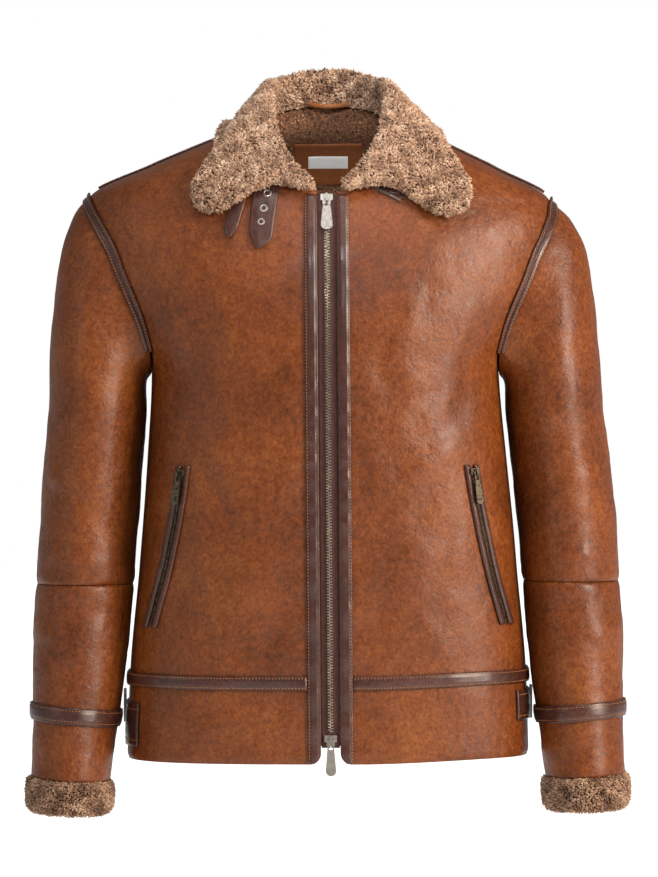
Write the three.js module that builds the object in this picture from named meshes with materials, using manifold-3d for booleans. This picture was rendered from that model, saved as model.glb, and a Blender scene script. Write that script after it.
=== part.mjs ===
// Shearling flight coat, filled out as on a wearer and hollow all through: millimetres, +Z up,
// front towards -Y, the wearer's left at +X, origin at the base of the neck on the shoulder line.
// A body skin with an open neck, hem and armholes carries two hanging sleeves, a turned-down
// collar and the goatskin strips, zips, straps and buckles that are sewn on it.
import * as THREE from "three";
import { mergeVertices } from "three/addons/utils/BufferGeometryUtils.js";
import Module from "manifold-3d";

const wasm = await Module();
wasm.setup();

// Driving dimensions
const PELT = 6; // sheepskin wall of body and sleeves: skin and clipped wool
const PILE = 8; // wall of collar and cuffs: skin and longer wool
const STRIP = 1.8; // goatskin strips and welts
const SEAM = 0.3; // gap between pieces that are sewn edge to edge
const LIFT = 0.8; // height of a strip's underside over what it lies on
const RIGHT = -1; // the wearer's right side
const LEFT = 1;
const FRONT = -1;
const BACK = 1;

const HEM_Z = -658;
const WAIST_Z = -576; // middle of the waist strip, and the seam under it
const UNDERARM_Z = -262;
const SHOULDER_Z = -80; // top of the armhole
const NECK_FRONT_Z = -78;
const NECK_SIDE_Z = -2;
const NECK_TOP_Z = 14; // above this the collar has no body under it
const ELBOW_Z = -479;
const WRIST_Z = -676; // where sleeve and cuff meet
const CUFF_Z = -708;
const HEM_CORNER = 12; // radius of the fronts' lower corners

const ZIP_HALF = 9.8; // from the zip's middle to each front's edge
const PLACKET = 13; // width of the strip beside the zip
const WAIST_STRIP = 13.5;
const SLEEVE_STRIP = 17;

// Level sections of the body from hem to neck: half width, depths to front and back,
// and the power of the rounded rectangle that they bound
const TORSO = [
  { z: -660, half: 208, front: 130, back: 128, power: 2.9 },
  { z: -576, half: 205.5, front: 131, back: 128, power: 2.8 },
  { z: -455, half: 195, front: 133, back: 131, power: 2.7 },
  { z: -345, half: 187, front: 134, back: 135, power: 2.6 },
  { z: -262, half: 183, front: 131, back: 137, power: 2.5 },
  { z: -230, half: 197, front: 129, back: 136, power: 2.4 },
  { z: -200, half: 212, front: 125, back: 134, power: 2.4 },
  { z: -144, half: 238, front: 115, back: 128, power: 2.3 },
  { z: -100, half: 250, front: 103, back: 119, power: 2.2 },
  { z: -80, half: 248, front: 96, back: 113, power: 2.2 },
  { z: -46, half: 182, front: 79, back: 99, power: 2.2 },
  { z: -22, half: 125, front: 68, back: 84, power: 2.2 },
  { z: -2, half: 77, front: 60, back: 66, power: 2.2 },
  { z: 30, half: 75, front: 58, back: 64, power: 2.2 },
];

// Depth of the armhole's edge before and behind the side at each height
const ARMHOLE = [
  { z: -262, front: 0.3, back: 0.3 },
  { z: -258, front: 24, back: 26 },
  { z: -250, front: 42, back: 46 },
  { z: -236, front: 55, back: 60 },
  { z: -200, front: 62, back: 70 },
  { z: -144, front: 55, back: 66 },
  { z: -110, front: 40, back: 48 },
  { z: -92, front: 24, back: 28 },
  { z: -84, front: 11, back: 13 },
  { z: -80, front: 0.3, back: 0.3 },
];

// Half width of the neck hole at each height, before and behind the shoulder line
const NECK_FRONT = [
  { z: -78, x: 10 },
  { z: -72, x: 34 },
  { z: -60, x: 50 },
  { z: -46, x: 60 },
  { z: -32, x: 67 },
  { z: -18, x: 72 },
  { z: -6, x: 75 },
];
const NECK_BACK = [
  { z: -2, x: 75 },
  { z: 8, x: 62 },
  { z: 16, x: 42 },
  { z: 21, x: 18 },
];

// Level rings of the hanging sleeve: sides next to the body and away from it, middle and half
// depth along Y, and how much lower the side next to the body lies
const SLEEVE = [
  { z: -298, inner: 188.5, outer: 290, mid: 2, deep: 78, tilt: 0 },
  { z: -345, inner: 191.5, outer: 294.5, mid: 0, deep: 75, tilt: 0 },
  { z: -400, inner: 195.5, outer: 298, mid: -4, deep: 71, tilt: 0 },
  { z: -438, inner: 198.5, outer: 300, mid: -8, deep: 68, tilt: 0 },
  { z: -479, inner: 201, outer: 302, mid: -13, deep: 65, tilt: 0 },
  { z: -500, inner: 203, outer: 304, mid: -16, deep: 63.5, tilt: 1 },
  { z: -562, inner: 208.5, outer: 305, mid: -26, deep: 59, tilt: 4 },
  { z: -609, inner: 216, outer: 304, mid: -34, deep: 56, tilt: 8 },
  { z: -655, inner: 221.5, outer: 304.5, mid: -42, deep: 53.5, tilt: 6 },
  { z: -684, inner: 225, outer: 305, mid: -47, deep: 52, tilt: 4 },
  { z: -715, inner: 226, outer: 305, mid: -50, deep: 51, tilt: 2 },
];

// Collar sections from the front end to the middle of the back, on the wool side: the neck
// seam, the top of the roll, the middle of the fall, its outer edge, and how much wider the
// wearer's left half lies
const COLLAR = [
  { seam: [14, -88, -71], roll: [17, -101, -62], fall: [62, -107, -67], edge: [116, -109, -97], wider: 9 },
  { seam: [30, -84, -63], roll: [29, -98, -52], fall: [82, -100, -58], edge: [132, -106, -93], wider: 14 },
  { seam: [42, -80, -55], roll: [44, -90, -38], fall: [92, -91, -50], edge: [136, -101, -84], wider: 23 },
  { seam: [52, -69, -41], roll: [55, -76, -16], fall: [98, -82, -34], edge: [138, -95, -69], wider: 22 },
  { seam: [60, -53, -25], roll: [62, -55, 14], fall: [98, -66, -10], edge: [132, -84, -48], wider: 18 },
  { seam: [66, -20, -6], roll: [64, -18, 42], fall: [93, -22, 12], edge: [98, -42, -19], wider: 11 },
  { seam: [66, 8, 5], roll: [62, 14, 51], fall: [80, 22, 18], edge: [90, 36, -8], wider: 2 },
  { seam: [54, 34, 11], roll: [51, 44, 56], fall: [70, 68, 22], edge: [84, 102, -38], wider: 0 },
  { seam: [32, 50, 20], roll: [30, 63, 61], fall: [44, 92, 25], edge: [56, 121, -52], wider: 0 },
  { seam: [0, 55, 23], roll: [0, 69, 63], fall: [0, 99, 27], edge: [0, 128, -56], wider: 0 },
];
const ROLL = 9; // radius of the collar's roll on the wool side
const COLLAR_LIFT = 5.2; // height of the collar's leather side over the body
const RIDGE_LIFT = 4; // how much more it rises over the shoulder seam's ridge
const RIDGE_HALF = 26; // and how far to the front and back of it
const NECK_FADE = 15; // height in which the collar comes to rest on the body below the neck
const FALL_START = 6; // first point of a section on the fall
const COLLAR_ACROSS = 12; // steps of a section
const COLLAR_STATIONS = 28; // steps round the neck

// Broad folds of the body: where the middle lies, the turn from upright in degrees,
// length, width, and height (a trough is below 0)
const FOLDS = [
  { facing: FRONT, x: -148, z: -292, turn: -38, long: 90, wide: 16, high: -4 },
  { facing: FRONT, x: -120, z: -330, turn: -48, long: 70, wide: 14, high: 3 },
  { facing: FRONT, x: 150, z: -280, turn: 34, long: 90, wide: 16, high: -4 },
  { facing: FRONT, x: 118, z: -345, turn: 52, long: 80, wide: 15, high: 3 },
  { facing: FRONT, x: -75, z: -470, turn: 8, long: 130, wide: 26, high: 3 },
  { facing: FRONT, x: 85, z: -455, turn: -6, long: 140, wide: 26, high: 3 },
  { facing: BACK, x: -120, z: -250, turn: -30, long: 110, wide: 18, high: -4 },
  { facing: BACK, x: 125, z: -265, turn: 33, long: 120, wide: 18, high: -4 },
  { facing: BACK, x: -50, z: -450, turn: 10, long: 160, wide: 28, high: 4 },
  { facing: BACK, x: 65, z: -430, turn: -8, long: 150, wide: 28, high: 4 },
];

// Folds round the sleeves: height, angle from the side next to the body through the front,
// length round, width down and height of the fold
const SLEEVE_FOLDS = [
  { z: -330, angle: 60, long: 60, wide: 12, high: -4 },
  { z: -372, angle: 110, long: 70, wide: 12, high: 3 },
  { z: -428, angle: 50, long: 60, wide: 11, high: -4 },
  { z: -452, angle: 95, long: 75, wide: 10, high: 4 },
  { z: -505, angle: 70, long: 70, wide: 11, high: -4 },
  { z: -530, angle: 120, long: 60, wide: 11, high: 3 },
  { z: -350, angle: 250, long: 70, wide: 14, high: -4 },
  { z: -440, angle: 290, long: 70, wide: 12, high: 4 },
  { z: -540, angle: 260, long: 60, wide: 12, high: -3 },
];

// How the wearer's left side settles against the right one
const SETTLE = [
  { z: -640, across: 0, up: 4 },
  { z: -560, across: 0, up: 4 },
  { z: -440, across: 0, up: 3 },
  { z: -300, across: -4, up: 0 },
  { z: -221, across: -7, up: -2 },
  { z: -128, across: -8, up: -4 },
  { z: -97, across: -12, up: -4 },
  { z: -80, across: -17, up: -4 },
  { z: -60, across: -11, up: -4 },
  { z: -30, across: -3, up: -4 },
  { z: 0, across: 0, up: -2 },
  { z: 70, across: 0, up: 0 },
];

const SKIN = { color: 0x7d4524, roughness: 0.5, metalness: 0 };
const TRIM_SKIN = { color: 0x4e2f25, roughness: 0.45, metalness: 0 };
const WOOL = { color: 0x8c6345, roughness: 0.95, metalness: 0 };
const TAPE = { color: 0x6d4d48, roughness: 0.9, metalness: 0 };
const STEEL = { color: 0x9a938c, roughness: 0.35, metalness: 1 };
const BRASS = { color: 0x5d5044, roughness: 0.4, metalness: 1 };
const COTTON = { color: 0xe9e6df, roughness: 0.9, metalness: 0 };

const coat = new THREE.Group();
const vec = (x, y, z) => new THREE.Vector3(x, y, z);
const smooth = (from, to, at) => THREE.MathUtils.smoothstep(at, from, to);
const steps = (from, to, count) =>
  Array.from({ length: count + 1 }, (_, i) => from + ((to - from) * i) / count);

// A table's column as a smooth function of height, with no overshoot between its rows.
function column(rows, key) {
  const sorted = [...rows].sort((a, b) => a.z - b.z);
  const at = sorted.map((row) => row.z);
  const value = sorted.map((row) => row[key]);
  const last = at.length - 1;
  const rise = at.slice(1).map((z, i) => (value[i + 1] - value[i]) / (z - at[i]));
  const tangent = at.map((_, i) => {
    if (i === 0 || i === last) return rise[Math.max(i - 1, 0)];
    const product = rise[i - 1] * rise[i];
    return product <= 0 ? 0 : (2 * product) / (rise[i - 1] + rise[i]);
  });
  return (z) => {
    const over = at.findIndex((each) => each > z);
    const i = THREE.MathUtils.clamp((over < 0 ? at.length : over) - 1, 0, last - 1);
    const span = at[i + 1] - at[i];
    const t = THREE.MathUtils.clamp((z - at[i]) / span, 0, 1);
    const [t2, t3] = [t * t, t * t * t];
    return (
      value[i] * (2 * t3 - 3 * t2 + 1) +
      value[i + 1] * (3 * t2 - 2 * t3) +
      span * (tangent[i] * (t3 - 2 * t2 + t) + tangent[i + 1] * (t3 - t2))
    );
  };
}
const columns = (rows, ...keys) => Object.fromEntries(keys.map((key) => [key, column(rows, key)]));

const torso = columns(TORSO, "half", "front", "back", "power");
const armhole = columns(ARMHOLE, "front", "back");
const neckFront = column(NECK_FRONT, "x");
const neckBack = column(NECK_BACK, "x");
const sleeve = columns(SLEEVE, "inner", "outer", "mid", "deep", "tilt");
const settling = columns(SETTLE, "across", "up");
const SETTLE_REACH = [30, 180]; // where the settling begins and where it is whole, sideways
const ZIP_LEAN = [-1.5, 3]; // sideways place of the zip's middle at the neck and at the hem

const depthOf = (facing) => (facing === FRONT ? torso.front : torso.back);
const zipMiddle = (z) => THREE.MathUtils.mapLinear(z, NECK_FRONT_Z, HEM_Z, ...ZIP_LEAN);

// Where a point ends up once the left side has settled.
function settle(p) {
  const share = smooth(...SETTLE_REACH, p.x);
  return vec(p.x + share * settling.across(p.z), p.y, p.z + share * settling.up(p.z));
}

// (x/half)^power + (y/depth)^power - 1: below 0 inside the body, 0 on its skin.
function bodyFill({ x, y, z }, facing) {
  const power = torso.power(z);
  return (Math.abs(x) / torso.half(z)) ** power + (Math.abs(y) / depthOf(facing)(z)) ** power - 1;
}

// Slope of bodyFill at a point, for each millimetre.
function bodyGradient(p, facing) {
  const h = 0.05;
  const along = (axis) =>
    (bodyFill(p.clone().addScaledVector(axis, h), facing) -
      bodyFill(p.clone().addScaledVector(axis, -h), facing)) /
    (2 * h);
  return vec(along(vec(1, 0, 0)), along(vec(0, 1, 0)), along(vec(0, 0, 1)));
}
const bodySlope = (p, facing) => bodyGradient(p, facing).length();

// Outward direction of the body's skin.
const torsoNormal = (p, facing) => bodyGradient(p, facing).normalize();

// Height of the body's folds at a point: a soft ridge or trough, long one way and narrow across.
function foldHeight(p, facing) {
  const fade = 1 - Math.min(1, Math.abs(p.x) / torso.half(p.z)) ** 8;
  return fade * FOLDS.filter((fold) => fold.facing === facing).reduce((sum, fold) => {
    const turn = THREE.MathUtils.degToRad(fold.turn);
    const [dx, dz] = [p.x - fold.x, p.z - fold.z];
    const along = (dx * Math.sin(turn) + dz * Math.cos(turn)) / fold.long;
    const across = (dx * Math.cos(turn) - dz * Math.sin(turn)) / fold.wide;
    return sum + fold.high * Math.exp(-4 * along * along - across * across);
  }, 0);
}

// A point of the body's skin, with its outward direction, moved out by lift.
function onSkin(x, y, z, facing, lift) {
  const p = vec(x, y, z);
  const n = torsoNormal(p, facing);
  return { p: p.addScaledVector(n, lift + foldHeight(p, facing)), n };
}

// The skin's point at a sideways distance x and height z, on the front or the back.
function overTorso(x, z, facing, lift) {
  const power = torso.power(z);
  const rest = Math.max(0, 1 - (Math.abs(x) / torso.half(z)) ** power);
  return onSkin(x, facing * depthOf(facing)(z) * rest ** (1 / power), z, facing, lift);
}

// Points of one level of the skin from sideways distance fromX to depth toY, evenly spaced.
function skinRow(side, facing, z, fromX, toY, count, lift = 0) {
  const [power, half, depth] = [torso.power(z), torso.half(z), depthOf(facing)(z)];
  const start = Math.acos(Math.min(1, (Math.max(fromX, 0) / half) ** (power / 2)));
  const stop = Math.asin((toY / depth) ** (power / 2));
  const fine = steps(start, stop, 160).map((angle) =>
    vec(
      side * half * Math.cos(angle) ** (2 / power),
      facing * depth * Math.sin(angle) ** (2 / power),
      z,
    ),
  );
  return evenly(fine, count).map((p) => onSkin(p.x, p.y, z, facing, lift));
}

// Evenly spaced points along a line of many.
function evenly(points, count) {
  const run = [0];
  points.slice(1).forEach((p, i) => run.push(run[i] + p.distanceTo(points[i])));
  return steps(0, run[run.length - 1], count).map((want) => {
    const found = run.findIndex((length) => length >= want);
    const i = found < 0 ? run.length - 1 : Math.max(found, 1);
    return points[i - 1].clone().lerp(points[i], (want - run[i - 1]) / (run[i] - run[i - 1] || 1));
  });
}

// Outward directions of a grid of plain points, towards the side that turn gives.
function facedGrid(rows, ring, turn) {
  const at = (i, j) => rows[i][ring ? (j + rows[i].length) % rows[i].length : j];
  return rows.map((row, i) =>
    row.map((p, j) => {
      const [i0, i1] = [Math.max(i - 1, 0), Math.min(i + 1, rows.length - 1)];
      const [j0, j1] = ring ? [j - 1, j + 1] : [Math.max(j - 1, 0), Math.min(j + 1, row.length - 1)];
      const down = at(i1, j).clone().sub(at(i0, j));
      const n = at(i, j1).clone().sub(at(i, j0)).cross(down);
      return { p, n: n.normalize().multiplyScalar(turn) };
    }),
  );
}

// The same grid moved along its outward directions.
const moved = (rows, lift) =>
  rows.map((row) => row.map(({ p, n }) => ({ p: p.clone().addScaledVector(n, lift), n })));

// A closed wall under a grid of outer points: outer face, inner face and the rims between them.
function wall(rows, thick, ring = false) {
  const [high, wide] = [rows.length, rows[0].length];
  const index = (i, j, inside) => (inside ? high * wide : 0) + i * wide + (j % wide);
  const outer = rows.flat();
  const inner = outer.map(({ p, n }) => p.clone().addScaledVector(n, -thick));
  const places = [...outer.map(({ p }) => p), ...inner];
  const faces = [];
  const quad = (a, b, c, d) => faces.push([a, b, c], [a, c, d]);
  const rim = (a, b) => quad(index(...a), index(...b), index(...b, 1), index(...a, 1));
  const across = ring ? wide : wide - 1;
  for (let i = 0; i < high - 1; i++)
    for (let j = 0; j < across; j++) {
      quad(index(i, j), index(i + 1, j), index(i + 1, j + 1), index(i, j + 1));
      quad(index(i, j, 1), index(i, j + 1, 1), index(i + 1, j + 1, 1), index(i + 1, j, 1));
    }
  for (let j = 0; j < across; j++) {
    rim([0, j], [0, j + 1]);
    rim([high - 1, j + 1], [high - 1, j]);
  }
  if (!ring)
    for (let i = 0; i < high - 1; i++) {
      rim([i + 1, 0], [i, 0]);
      rim([i, wide - 1], [i + 1, wide - 1]);
    }
  const first = faces[0].map((k) => places[k]);
  const out = first[1].clone().sub(first[0]).cross(first[2].clone().sub(first[0])).dot(rows[0][0].n);
  if (out < 0) faces.forEach((face) => face.reverse());
  return skinOf(places.map(settle), faces);
}

function skinOf(places, faces) {
  const geometry = new THREE.BufferGeometry().setFromPoints(places);
  geometry.setIndex(faces.flat());
  geometry.computeVertexNormals();
  return geometry;
}

function add(name, geometry, finish) {
  const mesh = new THREE.Mesh(geometry, new THREE.MeshStandardMaterial(finish));
  mesh.name = name;
  coat.add(mesh);
  return mesh;
}

const sideName = (side) => (side === RIGHT ? "right" : "left");

// Heights of the grid rows that the armhole's edge passes, the same on body and sleeve
const ARMHOLE_ROWS = [-262, -259, -251, -238, -220, -198, -176, -154, -132, -112, -96, -86, -80];
const BODY_ROWS = [...steps(WAIST_Z + SEAM, -284, 7), ...ARMHOLE_ROWS];

// Depth at which a level of the front or back ends: side seam, armhole or shoulder seam.
const edgeDepth = (z, facing) =>
  z < UNDERARM_Z || z > SHOULDER_Z ? SEAM : armhole[facing === FRONT ? "front" : "back"](z);

// Sideways distance at which a front begins: the zip, or the neck above it. The hem's corner is round.
function frontStart(side, z) {
  if (z > NECK_FRONT_Z) return neckFront(z);
  const rise = Math.max(0, HEM_CORNER - (z - HEM_Z));
  const corner = HEM_CORNER - Math.sqrt(HEM_CORNER ** 2 - rise ** 2);
  return side * zipMiddle(z) + ZIP_HALF + corner;
}

// Levels of a front and of the back over the body's rows, and of a front hem piece from the foot
const FRONT_TOP_ROWS = [-77.5, -72, -60, -46, -32, -18, -8];
const BACK_TOP_ROWS = [-70, -54, -38, -22, -8, 4, 13, 19];
const HEM_ROWS = [HEM_Z + 0.1, -656, -652, -646, -630, -612, -594, WAIST_Z - SEAM];
// Steps of a level, from the middle to the side, on each kind of piece
const LEVEL_STEPS = { front: 10, back: 8, hem: 10, waist: 12 };

function buildFront(side) {
  const heights = [...BODY_ROWS, ...FRONT_TOP_ROWS];
  const rows = heights.map((z) =>
    skinRow(side, FRONT, z, frontStart(side, z), edgeDepth(z, FRONT), LEVEL_STEPS.front),
  );
  add("front_" + sideName(side), wall(rows, PELT), SKIN);
}

// Whole levels of the back, from the right edge over the middle to the left one.
function backRows(heights, count, lift = 0) {
  const endDepth = (z) => {
    if (z <= NECK_SIDE_Z - 4) return edgeDepth(z, BACK);
    const power = torso.power(z);
    const hole = neckBack(Math.max(z, NECK_SIDE_Z));
    return torso.back(z) * (1 - (hole / torso.half(z)) ** power) ** (1 / power);
  };
  return heights.map((z) => {
    const left = skinRow(LEFT, BACK, z, 0, endDepth(z), count, lift);
    const right = skinRow(RIGHT, BACK, z, 0, endDepth(z), count, lift);
    return [...right.reverse(), ...left.slice(1)];
  });
}

function buildBack() {
  const heights = [...BODY_ROWS, ...BACK_TOP_ROWS];
  add("back", wall(backRows(heights, LEVEL_STEPS.back), PELT), SKIN);
}

function buildHem() {
  for (const side of [RIGHT, LEFT]) {
    const rows = HEM_ROWS.map((z) =>
      skinRow(side, FRONT, z, frontStart(side, z), SEAM, LEVEL_STEPS.hem),
    );
    add("hem_front_" + sideName(side), wall(rows, PELT), SKIN);
  }
  add("hem_back", wall(backRows(steps(HEM_Z, WAIST_Z - SEAM, 3), LEVEL_STEPS.hem), PELT), SKIN);
}

function buildWaistTrim() {
  const heights = steps(WAIST_Z - WAIST_STRIP / 2, WAIST_Z + WAIST_STRIP / 2, 2);
  const lift = LIFT + STRIP;
  for (const side of [RIGHT, LEFT]) {
    const start = (z) => frontStart(side, z) + PLACKET + 0.5;
    const rows = heights.map((z) =>
      skinRow(side, FRONT, z, start(z), SEAM, LEVEL_STEPS.waist, lift),
    );
    add("waist_trim_front_" + sideName(side), wall(rows, STRIP), TRIM_SKIN);
  }
  add("waist_trim_back", wall(backRows(heights, LEVEL_STEPS.waist, lift), STRIP), TRIM_SKIN);
}

// The armhole's edge as a loop from the underarm up the front, over the shoulder and down the back.
const armholeLoop = (side) => {
  const edge = (z, facing) => skinRow(side, facing, z, 0, edgeDepth(z, facing), 1)[1];
  const up = ARMHOLE_ROWS.map((z) => edge(z, FRONT));
  const down = ARMHOLE_ROWS.slice(1, -1).reverse().map((z) => edge(z, BACK));
  return [...up, ...down];
};

// Angle of each point of the loop round the sleeve, from its share of the loop's length.
function loopAngles(loop) {
  const run = [0];
  loop.forEach(({ p }, i) => run.push(run[i] + p.distanceTo(loop[(i + 1) % loop.length].p)));
  return loop.map((_, i) => (360 * run[i]) / run[loop.length]);
}

// Height of the sleeve's folds, by the distance round the ring and down the sleeve.
function sleeveFold(z, angle, round) {
  return SLEEVE_FOLDS.reduce((sum, fold) => {
    const away = (THREE.MathUtils.euclideanModulo(angle - fold.angle + 180, 360) - 180) / 360;
    const along = (away * round) / fold.long;
    const across = (z - fold.z - along * fold.wide) / fold.wide;
    return sum + fold.high * Math.exp(-4 * along * along - across * across);
  }, 0);
}

// A point of the sleeve's ring at a height: angle 0 is next to the body and 90 at the front.
function sleevePoint(side, z, angle) {
  const turn = THREE.MathUtils.degToRad(angle);
  const half = (sleeve.outer(z) - sleeve.inner(z)) / 2;
  const deep = sleeve.deep(z);
  const fold = sleeveFold(z, angle, Math.PI * (half + deep)) * Math.sin(turn / 2) ** 2;
  return vec(
    side * (sleeve.inner(z) + half - (half + fold) * Math.cos(turn)),
    sleeve.mid(z) - (deep + fold) * Math.sin(turn),
    z - (sleeve.tilt(z) * (1 + Math.cos(turn))) / 2,
  );
}

const CAP_Z = SLEEVE[0].z; // first level ring under the sleeve's head
const CAP_REACH = 36; // how far the head runs straight out of the armhole
const CAP_SHARE = 0.3; // the same as a share of the way down to the ring, where that is less
const CAP_OUT = [0.9, -0.43]; // the way it sets out, sideways and up
const CAP_LANDING = 0.42; // how long it comes straight down on the ring, as such a share
const HEAD_STEPS = [0, 0.1, 0.24, 0.44, 0.7]; // where the head's rows lie on the curve

// The sleeve's head: a cubic curve from each point of the armhole down to the first ring.
function capPoint(side, edge, angle, t) {
  const from = edge.clone().add(vec(side * 2 * SEAM, 0, 0));
  const to = sleevePoint(side, CAP_Z, angle);
  const far = from.distanceTo(to);
  const reach = Math.min(CAP_REACH, CAP_SHARE * far);
  const out = vec(side * CAP_OUT[0], 0, CAP_OUT[1]).multiplyScalar(reach);
  const curve = new THREE.CubicBezierCurve3(
    from,
    from.clone().add(out),
    to.clone().add(vec(0, 0, CAP_LANDING * far)),
    to,
  );
  return curve.getPoint(t);
}

const SLEEVE_TRIM_TOP = -600;
// The cuff of wool: its levels and how far each stands out
const CUFF_ROWS = [WRIST_Z, -679, -690, CUFF_Z + 4, CUFF_Z];
const CUFF_PUFF = [1, 5, 6, 5, 2];

function buildSleeve(side) {
  const loop = armholeLoop(side);
  const angles = loopAngles(loop);
  const ring = (z) => angles.map((angle) => sleevePoint(side, z, angle));
  const head = HEAD_STEPS.map((t) =>
    loop.map(({ p }, k) => capPoint(side, p, angles[k], t)),
  );
  const upper = [...head, ...steps(CAP_Z, ELBOW_Z + SEAM, 7).map(ring)];
  const lower = steps(ELBOW_Z - SEAM, WRIST_Z + SEAM, 8).map(ring);
  add("sleeve_upper_" + sideName(side), wall(facedGrid(upper, true, -side), PELT, true), SKIN);
  add("sleeve_lower_" + sideName(side), wall(facedGrid(lower, true, -side), PELT, true), SKIN);

  const strip = steps(SLEEVE_TRIM_TOP - SLEEVE_STRIP, SLEEVE_TRIM_TOP, 2).reverse().map(ring);
  const lifted = moved(facedGrid(strip, true, -side), LIFT + STRIP);
  add("sleeve_trim_" + sideName(side), wall(lifted, STRIP, true), TRIM_SKIN);

  const cuff = facedGrid(CUFF_ROWS.map(ring), true, -side);
  const proud = cuff.map((row, i) => moved([row], CUFF_PUFF[i])[0]);
  add("cuff_" + sideName(side), wall(proud, PILE, true), WOOL);
}

// A strip along the armhole seam, half on the body and half on the sleeve, open under the arm:
// its width on each of them, its lift, and how many points of the loop stay bare at each end
const ARMHOLE_STRIP = { onBody: 7, onSleeve: 5.5, lift: 0.7, bare: 3 };

function buildArmholeTrim(side) {
  const { onBody, onSleeve, lift, bare } = ARMHOLE_STRIP;
  const loop = armholeLoop(side);
  const angles = loopAngles(loop);
  const chosen = loop.map((_, k) => k).filter((k) => k >= bare && k <= loop.length - bare);
  const rows = chosen.map((k) => {
    const { p, n } = loop[k];
    const tangent = loop[k + 1 === loop.length ? 0 : k + 1].p.clone().sub(loop[k - 1].p);
    const inward = n.clone().cross(tangent).normalize().multiplyScalar(side);
    const far = p.distanceTo(sleevePoint(side, CAP_Z, angles[k]));
    const t = onSleeve / (3 * Math.min(CAP_REACH, CAP_SHARE * far));
    return [
      p.clone().addScaledVector(inward, onBody),
      p.clone().addScaledVector(inward, onBody / 2),
      p.clone().add(vec(side * SEAM, 0, 0)),
      capPoint(side, p, angles[k], t),
    ];
  });
  const strip = moved(facedGrid(rows, false, side), lift + STRIP);
  add("armhole_trim_" + sideName(side), wall(strip, STRIP), TRIM_SKIN);
}

// A narrow strip over the shoulder seam, from under the collar to the armhole.
const SHOULDER_STRIP = { top: -14, foot: -70, half: 4.5, lift: 0.5 };

function buildShoulderTrim(side) {
  const { top, foot, half, lift } = SHOULDER_STRIP;
  const rows = steps(top, foot, 7).map((z) =>
    [-half, 0, half].map((y) => {
      const facing = y > 0 ? BACK : FRONT;
      const share = 1 - (Math.abs(y) / depthOf(facing)(z)) ** torso.power(z);
      const x = side * torso.half(z) * share ** (1 / torso.power(z));
      return onSkin(x, y, z, facing, lift + STRIP);
    }),
  );
  add("shoulder_trim_" + sideName(side), wall(rows, STRIP), TRIM_SKIN);
}

// A point of the collar's fall, moved out until its leather side clears the body by COLLAR_LIFT.
function restOnBody({ p, n }, j) {
  if (j < FALL_START) return p;
  const facing = p.y < 0 ? FRONT : BACK;
  const under = p.clone().addScaledVector(n, -PILE);
  const clear = bodyFill(under, facing) / bodySlope(under, facing);
  const share = 1 - smooth(NECK_TOP_Z - NECK_FADE, NECK_TOP_Z, under.z);
  const wanted = COLLAR_LIFT + RIDGE_LIFT * Math.exp(-((under.y / RIDGE_HALF) ** 2));
  return p.clone().addScaledVector(torsoNormal(under, facing), share * Math.max(0, wanted - clear));
}

// Rows of points eased towards their neighbours, the first and last row kept.
const eased = (rows) =>
  rows.map((row, i) => {
    if (i === 0 || i === rows.length - 1) return row;
    return row.map((p, j) => {
      const beside = rows[i - 1][j].clone().add(rows[i + 1][j]);
      return beside.addScaledVector(p, 2).divideScalar(4);
    });
  });

// Control points of one section of the collar on a side, from the neck seam over the roll to
// the outer edge. k counts from the front end.
function collarSection(side, { seam, roll, fall, edge, wider }, k) {
  const back = k / (COLLAR.length - 1);
  const out = vec(fall[0] - roll[0], fall[1] - roll[1], 0).normalize();
  if (k < 2) out.set(0.75 * k, -1, 0).normalize();
  const drop = vec(0, 0, -ROLL * (0.8 + 0.4 * back));
  const more = side === LEFT ? wider : 0;
  const top = vec(...roll);
  const line = [
    vec(...seam),
    top.clone().addScaledVector(out, -ROLL).add(drop),
    top,
    top.clone().addScaledVector(out, ROLL).add(drop),
    vec(...fall).add(vec(more / 2, 0, 0)),
    vec(...edge).add(vec(more, 0, 0)),
  ];
  return line.map((p) => vec(side * p.x, p.y, p.z));
}

// The collar: one pelt from one front end over the back of the neck to the other. Each section
// climbs from the neck seam, rolls over and falls to its outer edge.
function buildCollar() {
  const right = COLLAR.slice(0, -1).map((row, k) => collarSection(RIGHT, row, k));
  const left = COLLAR.map((row, k) => collarSection(LEFT, row, k));
  const across = [...right, ...left.reverse()].map((line) => {
    const curve = new THREE.CatmullRomCurve3(line, false, "centripetal");
    return evenly(curve.getPoints(60), COLLAR_ACROSS);
  });
  const along = across[0].map((_, j) => {
    const curve = new THREE.CatmullRomCurve3(across.map((line) => line[j]), false, "centripetal");
    return curve.getPoints(COLLAR_STATIONS);
  });
  const rows = eased(eased(along[0].map((_, i) => along.map((line) => line[i]))));
  const rested = facedGrid(rows, false, -1).map((row) => row.map(restOnBody));
  add("collar", wall(facedGrid(rested, false, -1), PILE), WOOL);
}

// A strip on the front or back between two sideways edges that change with height.
function skinStrip(heights, from, to, count, facing, lift) {
  return heights.map((z) => steps(from(z), to(z), count).map((x) => overTorso(x, z, facing, lift)));
}

const PLACKET_ROWS = [HEM_Z + 1, -655, -651, -646, ...steps(-630, -82, 18)];
// Zip: a tape under each front's edge, and half of the closed chain on it
const ZIP_TAPE = { foot: -641, top: -81, near: 0.4, far: ZIP_HALF - 0.6, lift: -1.6, thick: 1.2 };
const ZIP_CHAIN = { foot: -625, top: -93, near: 0.25, far: 2.9, lift: 0.9, thick: 2.2 };
const ZIP_STEPS = 18;

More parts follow.
